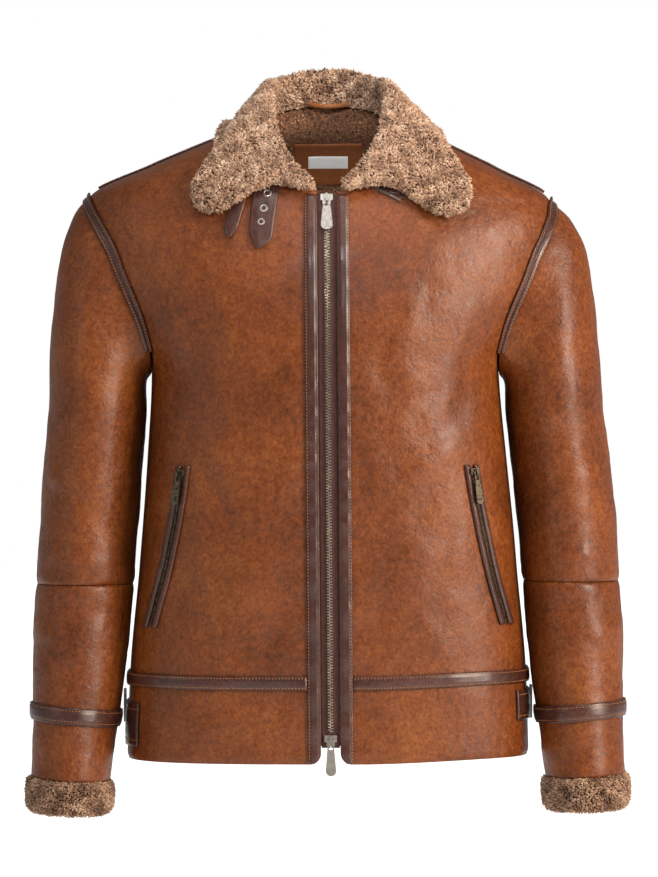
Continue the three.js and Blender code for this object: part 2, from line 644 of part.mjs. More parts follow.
function buildPlacketsAndZip() {
  for (const side of [RIGHT, LEFT]) {
    const edge = (z) => side * frontStart(side, z);
    const outer = (z) => side * (side * zipMiddle(z) + ZIP_HALF + PLACKET);
    const strip = skinStrip(PLACKET_ROWS, edge, outer, 1, FRONT, LIFT + STRIP);
    add("placket_" + sideName(side), wall(strip, STRIP), TRIM_SKIN);

    const half = (name, { foot, top, near, far, lift, thick }, finish) => {
      const from = (z) => zipMiddle(z) + side * near;
      const to = (z) => zipMiddle(z) + side * far;
      const rows = skinStrip(steps(foot, top, ZIP_STEPS), from, to, 1, FRONT, lift);
      add(name + sideName(side), wall(rows, thick), finish);
    };
    half("zip_tape_", ZIP_TAPE, TAPE);
    half("zip_chain_", ZIP_CHAIN, STEEL);
  }
}

// A closed geometry as a solid, and back.
function solid(geometry) {
  const bare = geometry.clone().deleteAttribute("normal").deleteAttribute("uv");
  const merged = mergeVertices(bare, 1e-4);
  return new wasm.Manifold(
    new wasm.Mesh({
      numProp: 3,
      vertProperties: merged.attributes.position.array,
      triVerts: new Uint32Array(merged.index.array),
    }),
  );
}

function geometryOf(manifold) {
  const mesh = manifold.getMesh();
  const geometry = new THREE.BufferGeometry();
  geometry.setAttribute("position", new THREE.BufferAttribute(mesh.vertProperties, 3));
  geometry.setIndex(new THREE.BufferAttribute(mesh.triVerts, 1));
  return geometry;
}

const block = (wide, deep, high, y, z) =>
  solid(new THREE.BoxGeometry(wide, deep, high).translate(0, y, z));

const AXIS_OUT = 4.8; // from the skin to the hinge of a pull
const BRIDGE = 2.2; // width of the slider's bridge
const BRIDGE_HOLE = [3.6, 5]; // opening of the bridge, out and along

// A slider in its own frame, Z along the zip and -Y out of it: a waisted body with a bridge.
function sliderGeometry(scale) {
  const [deep, high] = BRIDGE_HOLE;
  const body = block(12.5, 3.8, 7, -1.1, 1.5).add(block(8.5, 3.8, 11, -1.1, -0.5));
  const mid = -AXIS_OUT;
  const bridge = block(BRIDGE, deep + 3.2, high + 3.2, mid + 0.4, 0).subtract(
    block(BRIDGE * 2, deep, high, mid, 0),
  );
  return geometryOf(body.add(bridge)).scale(scale, scale, scale);
}

// Pull: its plate, the crossbar's half height, the arms' outside, how deep the hole between them
// is and its half width, the paddle's corner radius and how much narrower it starts
const PULL = { thick: 1.5, bar: 0.85, arm: 3.4, hole: 9.5, slot: 1.9, corner: 5.2, waist: 0.72 };

// A pull that hangs from its crossbar at the origin: two arms, then a paddle with round corners.
function pullGeometry(length, wide, scale) {
  const { thick, bar, arm, hole, slot, corner, waist } = PULL;
  const half = wide / 2;
  const outline = new THREE.Shape();
  outline.moveTo(-arm, bar);
  outline.lineTo(arm, bar);
  outline.lineTo(arm, -hole + 1);
  outline.lineTo(half * waist, -hole - 3);
  outline.lineTo(half, corner - length);
  outline.absarc(half - corner, corner - length, corner, 0, -Math.PI / 2, true);
  outline.absarc(corner - half, corner - length, corner, -Math.PI / 2, -Math.PI, true);
  outline.lineTo(-half * waist, -hole - 3);
  outline.lineTo(-arm, -hole + 1);
  outline.closePath();
  const window = new THREE.Path();
  window.moveTo(-slot, -bar);
  window.lineTo(-slot, -hole);
  window.lineTo(slot, -hole);
  window.lineTo(slot, -bar);
  window.closePath();
  outline.holes.push(window);
  const settings = { depth: thick, bevelEnabled: false, curveSegments: 4 };
  const plate = new THREE.ExtrudeGeometry(outline, settings).translate(0, 0, -thick / 2);
  return plate.rotateX(Math.PI / 2).scale(scale, scale, scale);
}

// A frame of axes on the skin: -Y out of it and -Z along down, at a settled point.
function seat(x, z, down, out) {
  const { p, n } = overTorso(x, z, FRONT, 0);
  const y = n.clone().negate();
  const across = y.clone().cross(down.clone().negate()).normalize();
  const up = across.clone().cross(y).normalize();
  const frame = new THREE.Matrix4().makeBasis(across, y, up);
  return frame.setPosition(settle(p).addScaledVector(n, out));
}

function placed(mesh, frame) {
  frame.decompose(mesh.position, mesh.quaternion, mesh.scale);
  return mesh;
}

function buildSlider([name, pullName], { x, z, down, out, length, wide, scale, finish }) {
  placed(add(name, sliderGeometry(scale), finish), seat(x, z, down, out));
  const pull = pullGeometry(length, wide, scale);
  placed(add(pullName, pull, finish), seat(x, z, down, out + AXIS_OUT * scale));
}

const TOP_SLIDER_Z = -86;
const BOTTOM_SLIDER_Z = -633;

function buildZipSliders() {
  for (const [end, z, length, wide] of [
    ["top", TOP_SLIDER_Z, 35, 12],
    ["bottom", BOTTOM_SLIDER_Z, 36, 10.5],
  ]) {
    const below = overTorso(zipMiddle(z - 10), z - 10, FRONT, 0).p;
    const down = below.sub(overTorso(zipMiddle(z), z, FRONT, 0).p).normalize();
    const size = { length, wide, scale: 1, out: -0.5, finish: STEEL };
    buildSlider(["zip_slider_" + end, "zip_pull_" + end], { x: zipMiddle(z), z, down, ...size });
  }
}

// Slanted pockets: two welts with a chain between them, a little bowed, the slider at the top
const POCKET = { topX: 146, topZ: -357, footX: 181, footZ: -522, bow: 4, welt: 5, gap: 2.2 };
// The chain in it: what is free at its foot, its top and its sides, and its thickness
const POCKET_CHAIN = { foot: 2, top: 16, beside: 0.4, thick: 1.6 };
const POCKET_STEPS = 12;
const POCKET_SLIDER = { below: 8, length: 38, wide: 11, scale: 0.85, out: 1.2 };

function buildPocket(side) {
  const { topX, topZ, footX, footZ, bow, welt, gap } = POCKET;
  const middle = (z) => {
    const t = (topZ - z) / (topZ - footZ);
    return topX + (footX - topX) * t - bow * Math.sin(Math.PI * t);
  };
  const strip = (name, heights, near, far, lift, thick, finish) => {
    const from = (z) => side * (middle(z) + near);
    const to = (z) => side * (middle(z) + far);
    const rows = skinStrip(heights, from, to, 1, FRONT, lift + thick);
    add(name + sideName(side), wall(rows, thick), finish);
  };
  const heights = steps(footZ, topZ, POCKET_STEPS);
  strip("pocket_welt_fore_", heights, -gap - welt, -gap, LIFT, STRIP, TRIM_SKIN);
  strip("pocket_welt_rear_", heights, gap, gap + welt, LIFT, STRIP, TRIM_SKIN);
  const { foot, top, beside, thick } = POCKET_CHAIN;
  const inner = steps(footZ + foot, topZ - top, POCKET_STEPS);
  strip("pocket_chain_", inner, beside - gap, gap - beside, LIFT, thick, BRASS);
  const { below, length, wide, scale, out } = POCKET_SLIDER;
  const z = topZ - below;
  const at = (height) => overTorso(side * middle(height), height, FRONT, 0).p;
  const down = at(z - 12).sub(at(z)).normalize();
  const names = ["pocket_slider_", "pocket_pull_"].map((name) => name + sideName(side));
  const size = { length, wide, scale, out: LIFT + STRIP + out, finish: BRASS };
  buildSlider(names, { x: side * middle(z), z, down, ...size });
}

// Height of the collar's straps over the skin, and how much more it is at the lower end
const STRAP_LIFT = { front: 0.9, rear: 0.8, lean: 0.1, rise: 2.5 };

// A strap on the front that hangs from under the collar: a row for each height, with its two sides
function buildStrap(name, table, lift, lean) {
  const rows = table.map(({ z, from, to }, i) =>
    steps(from, to, 4).map((x) => {
      const raised = lift + (i / table.length) * STRAP_LIFT.rise + (x - from) * lean;
      return overTorso(x, z, FRONT, raised + STRIP);
    }),
  );
  add(name, wall(rows, STRIP), TRIM_SKIN);
}

const FRONT_STRAP = [
  { z: -70, from: -76, to: -48 },
  { z: -82, from: -77, to: -50 },
  { z: -100, from: -78.5, to: -53 },
  { z: -118, from: -80, to: -55.5 },
  { z: -126, from: -77.5, to: -56.5 },
  { z: -133, from: -74.5, to: -61 },
  { z: -138, from: -72.5, to: -70 },
];
const REAR_STRAP = [
  { z: -78, from: -95, to: -83 },
  { z: -92, from: -98, to: -84.5 },
  { z: -108, from: -103, to: -89 },
  { z: -118, from: -105, to: -92 },
  { z: -127, from: -101, to: -98.5 },
];
// Eyelets of the front strap: place and outer width
const EYELETS = [
  { x: -61.5, z: -81, wide: 9 },
  { x: -65, z: -96.5, wide: 8.4 },
  { x: -67.5, z: -110.5, wide: 7.6 },
];

const EYELET = { hole: 0.5, thick: 1.2, lift: 0.7 }; // hole's share of the width, thickness, lift

function ringGeometry(wide, hole, thick) {
  const outline = new THREE.Shape().absarc(0, 0, wide / 2, 0, Math.PI * 2, false);
  outline.holes.push(new THREE.Path().absarc(0, 0, hole / 2, 0, Math.PI * 2, true));
  const settings = { depth: thick, bevelEnabled: false, curveSegments: 6 };
  return new THREE.ExtrudeGeometry(outline, settings).translate(0, 0, -thick).rotateX(-Math.PI / 2);
}

// A rectangular wire frame, its width and height outside, standing in the XZ plane.
function frameGeometry(wide, high, wire, thick) {
  const box = (w, h, turned) => {
    const path = turned ? new THREE.Path() : new THREE.Shape();
    const corners = [[-w, -h], [w, -h], [w, h], [-w, h]].map(([x, y]) => new THREE.Vector2(x / 2, y / 2));
    return path.setFromPoints(turned ? corners.reverse() : corners);
  };
  const outline = box(wide, high, false);
  outline.holes.push(box(wide - 2 * wire, high - 2 * wire, true));
  const settings = { depth: thick, bevelEnabled: false };
  return new THREE.ExtrudeGeometry(outline, settings).rotateX(Math.PI / 2);
}

// The buckle that shows under the collar's left half, and how it leans
const NECK_BUCKLE = { x: 66, z: -71, lean: 6, wide: 34, high: 25, wire: 2.2, thick: 2.2, lift: 0.7 };

function buildCollarStraps() {
  const { front, rear, lean: turn, rise } = STRAP_LIFT;
  buildStrap("collar_strap_front", FRONT_STRAP, front, 0);
  buildStrap("collar_strap_rear", REAR_STRAP, rear, turn);
  EYELETS.forEach(({ x, z, wide }, i) => {
    const share = FRONT_STRAP.findIndex((row) => row.z < z) - 0.5;
    const height = front + (share / FRONT_STRAP.length) * rise + STRIP + EYELET.lift;
    const below = overTorso(x, z - 10, FRONT, 0).p.sub(overTorso(x, z, FRONT, 0).p).normalize();
    placed(
      add("collar_eyelet_" + (i + 1), ringGeometry(wide, wide * EYELET.hole, EYELET.thick), STEEL),
      seat(x, z, below, height),
    );
  });

  const { x, z, lean, wide, high, wire, thick, lift } = NECK_BUCKLE;
  const foot = overTorso(x - lean, z - 10, FRONT, 0).p;
  const down = foot.sub(overTorso(x, z, FRONT, 0).p).normalize();
  const frame = frameGeometry(wide, high, wire, thick);
  placed(add("buckle_frame", frame, STEEL), seat(x, z, down, lift));
  const strap = new THREE.BoxGeometry(wide - 8, STRIP, high - 7);
  placed(add("buckle_strap", strap, TRIM_SKIN), seat(x, z, down, lift + 0.3));
}

// The side adjusters: a tab round the side of the hem band and its buckle's frame. A tab takes
// the last steps of a level before and behind the side seam.
const SIDE_TABS = [
  { side: RIGHT, high: 44, mid: -622 },
  { side: LEFT, high: 30, mid: -606 },
];
const TAB_STEPS = 20;
const SIDE_BUCKLE = { z: -606, y: 4, wide: 20, high: 34, wire: 3, thick: 2.2 };

function buildSideTab({ side, high, mid }) {
  const rows = steps(mid - high / 2, mid + high / 2, 2).map((z) => {
    const level = (facing) => {
      const all = skinRow(side, facing, z, 60, SEAM, 60, LIFT + STRIP);
      return all.slice(-TAB_STEPS - 1).filter((_, i) => i % 4 === 0);
    };
    return [...level(FRONT), ...level(BACK).reverse().slice(1)];
  });
  add("side_tab_" + sideName(side), wall(rows, STRIP), TRIM_SKIN);
  const { z, y, wide, high: tall, wire, thick } = SIDE_BUCKLE;
  const frame = new THREE.Matrix4().makeRotationZ((side * Math.PI) / 2);
  const out = side * (torso.half(z) + LIFT + STRIP + 0.8);
  const buckle = add("side_buckle_" + sideName(side), frameGeometry(wide, tall, wire, thick), STEEL);
  placed(buckle, frame.setPosition(settle(vec(out, y, z))));
}

// The loop that the coat hangs from: half its length, its height, and where its ends are
const HANGER_LOOP = { half: 22, high: 5, y: 48, z: 23 };

// Sewn on the wool: half width, top and foot, radius of the lower corners, depth under the wool's
// face, thickness and how many rows
const NECK_PATCH = { half: 37, top: -12, foot: -56, round: 12, depth: 0.8, thick: STRIP, rise: 8 };
const NECK_LABEL = {
  ...{ half: 21.5, top: -25, foot: -38, round: 0.01 },
  ...{ depth: 1.1 + STRIP, thick: 0.8, rise: 2 },
};

// What is sewn on the wool inside the back of the neck.
function buildNeckFittings() {
  const inside = (x, z, depth) => {
    const { p, n } = overTorso(x, z, BACK, -PELT - depth);
    return { p, n: n.negate() };
  };
  const patch = (name, { half, top, foot, round, depth, thick, rise }, finish) => {
    const rows = steps(foot, top, rise).map((z) => {
      const near = Math.max(0, round - (z - foot));
      const across = half - (round - Math.sqrt(round * round - near * near));
      return steps(-across, across, 6).map((x) => inside(x, z, depth + thick));
    });
    add(name, wall(rows, thick), finish);
  };
  patch("neck_patch", NECK_PATCH, TRIM_SKIN);
  patch("neck_label", NECK_LABEL, COTTON);

  const { half, high, y, z } = HANGER_LOOP;
  const loop = steps(-half, half, 10).map((x) => {
    const sag = 1 - (x / half) ** 2;
    const middle = vec(x, y - 7 * sag, z - 3 * sag);
    return [-high / 2, high / 2].map((up) => ({
      p: middle.clone().add(vec(0, 0, up)),
      n: vec(0, -1, 0),
    }));
  });
  add("hanger_loop", wall(loop, STRIP), TRIM_SKIN);
}

buildBack();
buildHem();
buildWaistTrim();
buildCollar();
buildPlacketsAndZip();
buildZipSliders();
buildCollarStraps();
buildNeckFittings();
for (const side of [RIGHT, LEFT]) {
  buildFront(side);
  buildSleeve(side);
  buildArmholeTrim(side);
  buildShoulderTrim(side);
  buildPocket(side);
}
SIDE_TABS.forEach(buildSideTab);

export default coat;
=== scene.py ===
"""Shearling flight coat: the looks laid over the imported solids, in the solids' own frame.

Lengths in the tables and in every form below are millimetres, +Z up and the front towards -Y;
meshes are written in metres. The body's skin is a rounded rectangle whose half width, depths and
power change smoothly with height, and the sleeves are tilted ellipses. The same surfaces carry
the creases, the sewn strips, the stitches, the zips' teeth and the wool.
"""

from __future__ import annotations

import logging
import math
from collections.abc import Callable, Sequence
from dataclasses import dataclass, field, fields
from enum import Enum

import bpy
import numpy as np
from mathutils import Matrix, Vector

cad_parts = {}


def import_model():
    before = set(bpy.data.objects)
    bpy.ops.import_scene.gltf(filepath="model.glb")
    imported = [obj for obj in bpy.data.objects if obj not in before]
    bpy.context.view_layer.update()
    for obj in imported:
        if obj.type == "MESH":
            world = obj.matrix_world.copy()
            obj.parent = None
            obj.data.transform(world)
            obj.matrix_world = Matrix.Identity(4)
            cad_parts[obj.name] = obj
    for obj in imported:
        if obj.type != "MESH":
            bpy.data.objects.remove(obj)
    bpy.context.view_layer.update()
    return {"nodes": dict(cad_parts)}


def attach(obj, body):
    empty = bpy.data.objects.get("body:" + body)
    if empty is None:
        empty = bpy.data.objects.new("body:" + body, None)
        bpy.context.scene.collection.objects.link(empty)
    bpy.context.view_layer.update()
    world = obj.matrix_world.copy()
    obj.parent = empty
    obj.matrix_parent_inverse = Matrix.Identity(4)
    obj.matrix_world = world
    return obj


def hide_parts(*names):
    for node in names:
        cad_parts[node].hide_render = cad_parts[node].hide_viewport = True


LOG = logging.getLogger("coat")
METRES = 0.001

PELT = 6.0
PILE = 8.0
STRIP = 1.8
SEAM = 0.3
LIFT = 0.8
HEM_Z = -658.0
WAIST_Z = -576.0
UNDERARM_Z = -262.0
SHOULDER_Z = -80.0
NECK_FRONT_Z = -78.0
NECK_SIDE_Z = -2.0
ELBOW_Z = -479.0
WRIST_Z = -676.0
CUFF_Z = -708.0
HEM_CORNER = 12.0
ZIP_HALF = 9.8
PLACKET = 13.0
WAIST_STRIP = 13.5
SLEEVE_STRIP_TOP = -600.0
SLEEVE_STRIP = 17.0
CAP_Z = -298.0
CAP_REACH = 36.0
CELL = 3.1  # side of a cell of the garment's grids


class Side(Enum):
    """The wearer's sides, with their sign along X."""

    RIGHT = -1
    LEFT = 1

    @property
    def word(self) -> str:
        """Name used in node names.

        Returns:
            The side in lower case.
        """
        return self.name.lower()


class Facing(Enum):
    """The body's halves, with their sign along Y."""

    FRONT = -1
    BACK = 1


@dataclass(frozen=True)
class TorsoLevel:
    """Level section of the body: half width, depths to front and back, power."""

    z: float
    half: float
    front: float
    back: float
    power: float


@dataclass(frozen=True)
class EdgeLevel:
    """Depth of the armhole's edge before and behind the side."""

    z: float
    front: float
    back: float


@dataclass(frozen=True)
class NeckLevel:
    """Half width of the neck hole."""

    z: float
    x: float


@dataclass(frozen=True)
class SleeveLevel:
    """Ring of the sleeve: sides near to and far from the body, middle and half depth, tilt."""

    z: float
    inner: float
    outer: float
    mid: float
    deep: float
    tilt: float


@dataclass(frozen=True)
class SettleLevel:
    """How far the wearer's left side has moved across and up."""

    z: float
    across: float
    up: float


@dataclass(frozen=True)
class Crease:
    """Soft ridge or trough of the body: middle, turn from upright, length, width, height."""

    facing: Facing
    x: float
    z: float
    turn: float
    long: float
    wide: float
    high: float


@dataclass(frozen=True)
class ArmCrease:
    """Soft ridge or trough of a sleeve: height, angle round, length, width, height, slant."""

    z: float
    angle: float
    long: float
    wide: float
    high: float
    slant: float = 1.0


@dataclass(frozen=True)
class CollarStation:
    """Collar section on the wool side: seam, top of the roll, middle of the fall and edge.

    The left half lies wider by the last value.
    """

    seam: tuple[float, float, float]
    roll: tuple[float, float, float]
    fall: tuple[float, float, float]
    edge: tuple[float, float, float]
    wider: float


TORSO = (
    TorsoLevel(-660, 208, 130, 128, 2.9),
    TorsoLevel(-576, 205.5, 131, 128, 2.8),
    TorsoLevel(-455, 195, 133, 131, 2.7),
    TorsoLevel(-345, 187, 134, 135, 2.6),
    TorsoLevel(-262, 183, 131, 137, 2.5),
    TorsoLevel(-230, 197, 129, 136, 2.4),
    TorsoLevel(-200, 212, 125, 134, 2.4),
    TorsoLevel(-144, 238, 115, 128, 2.3),
    TorsoLevel(-100, 250, 103, 119, 2.2),
    TorsoLevel(-80, 248, 96, 113, 2.2),
    TorsoLevel(-46, 182, 79, 99, 2.2),
    TorsoLevel(-22, 125, 68, 84, 2.2),
    TorsoLevel(-2, 77, 60, 66, 2.2),
    TorsoLevel(30, 75, 58, 64, 2.2),
)
ARMHOLE = (
    EdgeLevel(-262, 0.3, 0.3),
    EdgeLevel(-258, 24, 26),
    EdgeLevel(-250, 42, 46),
    EdgeLevel(-236, 55, 60),
    EdgeLevel(-200, 62, 70),
    EdgeLevel(-144, 55, 66),
    EdgeLevel(-110, 40, 48),
    EdgeLevel(-92, 24, 28),
    EdgeLevel(-84, 11, 13),
    EdgeLevel(-80, 0.3, 0.3),
)
NECK_FRONT = (
    NeckLevel(-78, 10),
    NeckLevel(-72, 34),
    NeckLevel(-60, 50),
    NeckLevel(-46, 60),
    NeckLevel(-32, 67),
    NeckLevel(-18, 72),
    NeckLevel(-6, 75),
)
NECK_BACK = (NeckLevel(-2, 75), NeckLevel(8, 62), NeckLevel(16, 42), NeckLevel(21, 18))
SLEEVE = (
    SleeveLevel(-298, 188.5, 290, 2, 78, 0),
    SleeveLevel(-345, 191.5, 294.5, 0, 75, 0),
    SleeveLevel(-400, 195.5, 298, -4, 71, 0),
    SleeveLevel(-438, 198.5, 300, -8, 68, 0),
    SleeveLevel(-479, 201, 302, -13, 65, 0),
    SleeveLevel(-500, 203, 304, -16, 63.5, 1),
    SleeveLevel(-562, 208.5, 305, -26, 59, 4),
    SleeveLevel(-609, 216, 304, -34, 56, 8),
    SleeveLevel(-655, 221.5, 304.5, -42, 53.5, 6),
    SleeveLevel(-684, 225, 305, -47, 52, 4),
    SleeveLevel(-715, 226, 305, -50, 51, 2),
)
SETTLE = (
    SettleLevel(-640, 0, 4),
    SettleLevel(-560, 0, 4),
    SettleLevel(-440, 0, 3),
    SettleLevel(-300, -4, 0),
    SettleLevel(-221, -7, -2),
    SettleLevel(-128, -8, -4),
    SettleLevel(-97, -12, -4),
    SettleLevel(-80, -17, -4),
    SettleLevel(-60, -11, -4),
    SettleLevel(-30, -3, -4),
    SettleLevel(0, 0, -2),
    SettleLevel(70, 0, 0),
)
COLLAR = (
    CollarStation((14, -88, -71), (17, -101, -62), (62, -107, -67), (116, -109, -97), 9),
    CollarStation((30, -84, -63), (29, -98, -52), (82, -100, -58), (132, -106, -93), 14),
    CollarStation((42, -80, -55), (44, -90, -38), (92, -91, -50), (136, -101, -84), 23),
    CollarStation((52, -69, -41), (55, -76, -16), (98, -82, -34), (138, -95, -69), 22),
    CollarStation((60, -53, -25), (62, -55, 14), (98, -66, -10), (132, -84, -48), 18),
    CollarStation((66, -20, -6), (64, -18, 42), (93, -22, 12), (98, -42, -19), 11),
    CollarStation((66, 8, 5), (62, 14, 51), (80, 22, 18), (90, 36, -8), 2),
    CollarStation((54, 34, 11), (51, 44, 56), (70, 68, 22), (84, 102, -38), 0),
    CollarStation((32, 50, 20), (30, 63, 61), (44, 92, 25), (56, 121, -52), 0),
    CollarStation((0, 55, 23), (0, 69, 63), (0, 99, 27), (0, 128, -56), 0),
)
ROLL = 9.0
COLLAR_LIFT = 5.2
RIDGE_LIFT = 4.0
RIDGE_HALF = 26.0
NECK_FADE = 15.0
NECK_TOP_Z = 14.0
FALL_START = 6
COLLAR_ACROSS = 12
COLLAR_STATIONS = 28

CREASES = (
    Crease(Facing.FRONT, -148, -292, -38, 90, 16, -4),
    Crease(Facing.FRONT, -120, -330, -48, 70, 14, 3),
    Crease(Facing.FRONT, 150, -280, 34, 90, 16, -4),
    Crease(Facing.FRONT, 118, -345, 52, 80, 15, 3),
    Crease(Facing.FRONT, -75, -470, 8, 130, 26, 3),
    Crease(Facing.FRONT, 85, -455, -6, 140, 26, 3),
    Crease(Facing.BACK, -120, -250, -30, 110, 18, -4),
    Crease(Facing.BACK, 125, -265, 33, 120, 18, -4),
    Crease(Facing.BACK, -50, -450, 10, 160, 28, 4),
    Crease(Facing.BACK, 65, -430, -8, 150, 28, 4),
    Crease(Facing.FRONT, -152, -232, -24, 62, 9, 1.8),
    Crease(Facing.FRONT, -136, -262, -36, 55, 8, -1.6),
    Crease(Facing.FRONT, -98, -215, -14, 80, 15, 1.7),
    Crease(Facing.FRONT, -62, -262, 10, 74, 13, -1.5),
    Crease(Facing.FRONT, -112, -392, -30, 60, 11, -1.7),
    Crease(Facing.FRONT, -42, -372, 14, 70, 12, 1.5),
    Crease(Facing.FRONT, -128, -446, -12, 66, 11, 1.6),
    Crease(Facing.FRONT, -56, -530, 22, 52, 11, -1.5),
    Crease(Facing.FRONT, -104, -548, -28, 46, 9, 1.3),
    Crease(Facing.FRONT, -150, -500, 12, 60, 10, -1.5),
    Crease(Facing.FRONT, 140, -226, 22, 60, 9, 1.8),
    Crease(Facing.FRONT, 84, -208, 12, 84, 15, 1.8),
    Crease(Facing.FRONT, 56, -268, -12, 70, 12, -1.6),
    Crease(Facing.FRONT, 108, -286, 40, 58, 9, -1.8),
    Crease(Facing.FRONT, 48, -352, -20, 72, 12, 1.6),
    Crease(Facing.FRONT, 96, -400, 26, 64, 12, -1.9),
    Crease(Facing.FRONT, 138, -430, 10, 60, 10, 1.4),
    Crease(Facing.FRONT, 52, -505, 16, 62, 12, -1.6),
    Crease(Facing.FRONT, 108, -535, -24, 50, 10, 1.5),
    Crease(Facing.FRONT, -110, -618, 80, 60, 11, 1.4),
    Crease(Facing.FRONT, 96, -622, 96, 66, 11, -1.4),
    Crease(Facing.FRONT, -50, -600, 20, 34, 9, -1.2),
    Crease(Facing.FRONT, 60, -598, -18, 34, 9, 1.2),
    Crease(Facing.BACK, -150, -290, -44, 74, 12, 2.2),
    Crease(Facing.BACK, 148, -305, 46, 80, 12, 2.3),
    Crease(Facing.BACK, -92, -330, -18, 96, 15, -2.1),
    Crease(Facing.BACK, 20, -360, 6, 110, 18, -2),
    Crease(Facing.BACK, 104, -352, 24, 92, 14, 1.9),
    Crease(Facing.BACK, -20, -520, -14, 84, 14, -1.9),
    Crease(Facing.BACK, 96, -512, 18, 78, 13, -2),
    Crease(Facing.BACK, -112, -505, 20, 76, 13, 1.8),
    Crease(Facing.BACK, -40, -180, 84, 84, 14, -1.6),
    Crease(Facing.BACK, 60, -160, 98, 76, 12, 1.5),
    Crease(Facing.BACK, -80, -615, 84, 70, 11, 1.5),
    Crease(Facing.BACK, 70, -620, 98, 74, 11, -1.5),
)
ARM_CREASES = {
    Side.RIGHT: (
        ArmCrease(-330, 60, 60, 12, -4),
        ArmCrease(-372, 110, 70, 12, 3),
        ArmCrease(-428, 50, 60, 11, -4),
        ArmCrease(-452, 95, 75, 10, 4),
        ArmCrease(-505, 70, 70, 11, -4),
        ArmCrease(-530, 120, 60, 11, 3),
        ArmCrease(-350, 250, 70, 14, -4),
        ArmCrease(-440, 290, 70, 12, 4),
        ArmCrease(-540, 260, 60, 12, -3),
        ArmCrease(-318, 82, 54, 9, 1.8, 1.6),
        ArmCrease(-398, 84, 58, 10, -2, 1.2),
        ArmCrease(-486, 102, 56, 9, 2, 0.6),
        ArmCrease(-566, 84, 52, 9, -1.9, 0.8),
        ArmCrease(-622, 92, 48, 9, 1.6, 0.4),
        ArmCrease(-645, 60, 44, 8, -1.6, 0.5),
        ArmCrease(-480, 262, 60, 10, 2, -0.8),
        ArmCrease(-392, 236, 66, 11, 2, -1),
        ArmCrease(-600, 284, 54, 10, 1.8, -0.6),
    ),
    Side.LEFT: (
        ArmCrease(-330, 60, 60, 12, -4),
        ArmCrease(-372, 110, 70, 12, 3),
        ArmCrease(-428, 50, 60, 11, -4),
        ArmCrease(-452, 95, 75, 10, 4),
        ArmCrease(-505, 70, 70, 11, -4),
        ArmCrease(-530, 120, 60, 11, 3),
        ArmCrease(-350, 250, 70, 14, -4),
        ArmCrease(-440, 290, 70, 12, 4),
        ArmCrease(-540, 260, 60, 12, -3),
        ArmCrease(-312, 74, 60, 9, 2.4, 2.2),
        ArmCrease(-340, 84, 52, 8, -2.2, 2),
        ArmCrease(-406, 92, 62, 10, 2.1, 1.4),
        ArmCrease(-472, 66, 56, 9, -2.1, 0.9),
        ArmCrease(-548, 80, 54, 9, 2, 0.6),
        ArmCrease(-590, 110, 50, 9, -1.7, 0.8),
        ArmCrease(-636, 78, 48, 9, 1.7, 0.4),
        ArmCrease(-404, 258, 62, 11, 2.1, -1.2),
        ArmCrease(-500, 240, 66, 10, -2, -0.9),
        ArmCrease(-590, 270, 54, 10, 1.8, -0.6),
    ),
}
ARMHOLE_ROWS = (-262, -259, -251, -238, -220, -198, -176, -154, -132, -112, -96, -86, -80)


def smooth(low: float, high: float, value: np.ndarray) -> np.ndarray:
    """Smooth step from 0 at low to 1 at high.

    Args:
        low: Value where the step starts.
        high: Value where it ends.
        value: Values to map.

    Returns:
        The cubic step of each value.
    """
    t = np.clip((value - low) / (high - low), 0.0, 1.0)
    return t * t * (3.0 - 2.0 * t)


class Column:
    """A table's column as a smooth function of height, with no overshoot between its rows."""

    def __init__(self, rows: Sequence[object], key: str) -> None:
        """Fit the column: cubic pieces with harmonic-mean tangents.

        Args:
            rows: The table's rows, each with a z.
            key: Name of the column.
        """
        ordered = sorted(rows, key=lambda row: row.z)
        self.at = np.array([row.z for row in ordered], float)
        self.value = np.array([getattr(row, key) for row in ordered], float)
        rise = np.diff(self.value) / np.diff(self.at)
        product = rise[:-1] * rise[1:]
        total = np.where(product > 0, rise[:-1] + rise[1:], 1.0)
        middle = np.where(product > 0, 2.0 * product / total, 0.0)
        self.tangent = np.concatenate([rise[:1], middle, rise[-1:]])

    def __call__(self, z: np.ndarray | float) -> np.ndarray:
        """Evaluate the column.

        Args:
            z: Heights.

        Returns:
            The column's value at each height.
        """
        z = np.asarray(z, float)
        i = np.clip(np.searchsorted(self.at, z, side="right") - 1, 0, len(self.at) - 2)
        span = self.at[i + 1] - self.at[i]
        t = np.clip((z - self.at[i]) / span, 0.0, 1.0)
        t2, t3 = t * t, t * t * t
        return (
            self.value[i] * (2 * t3 - 3 * t2 + 1)
            + self.value[i + 1] * (3 * t2 - 2 * t3)
            + span * (self.tangent[i] * (t3 - 2 * t2 + t) + self.tangent[i + 1] * (t3 - t2))
        )


def unit(vectors: np.ndarray) -> np.ndarray:
    """Vectors scaled to length one.

    Args:
        vectors: Array whose last axis is X, Y, Z.

    Returns:
        The unit vectors.
    """
    return vectors / np.maximum(np.linalg.norm(vectors, axis=-1, keepdims=True), 1e-9)


def stack(x: np.ndarray, y: np.ndarray, z: np.ndarray) -> np.ndarray:
    """Points from three arrays that broadcast together.

    Args:
        x: X of each point.
        y: Y of each point.
        z: Z of each point.

    Returns:
        The points, X, Y, Z on the last axis.
    """
    return np.stack(np.broadcast_arrays(x, y, z), axis=-1).astype(float)


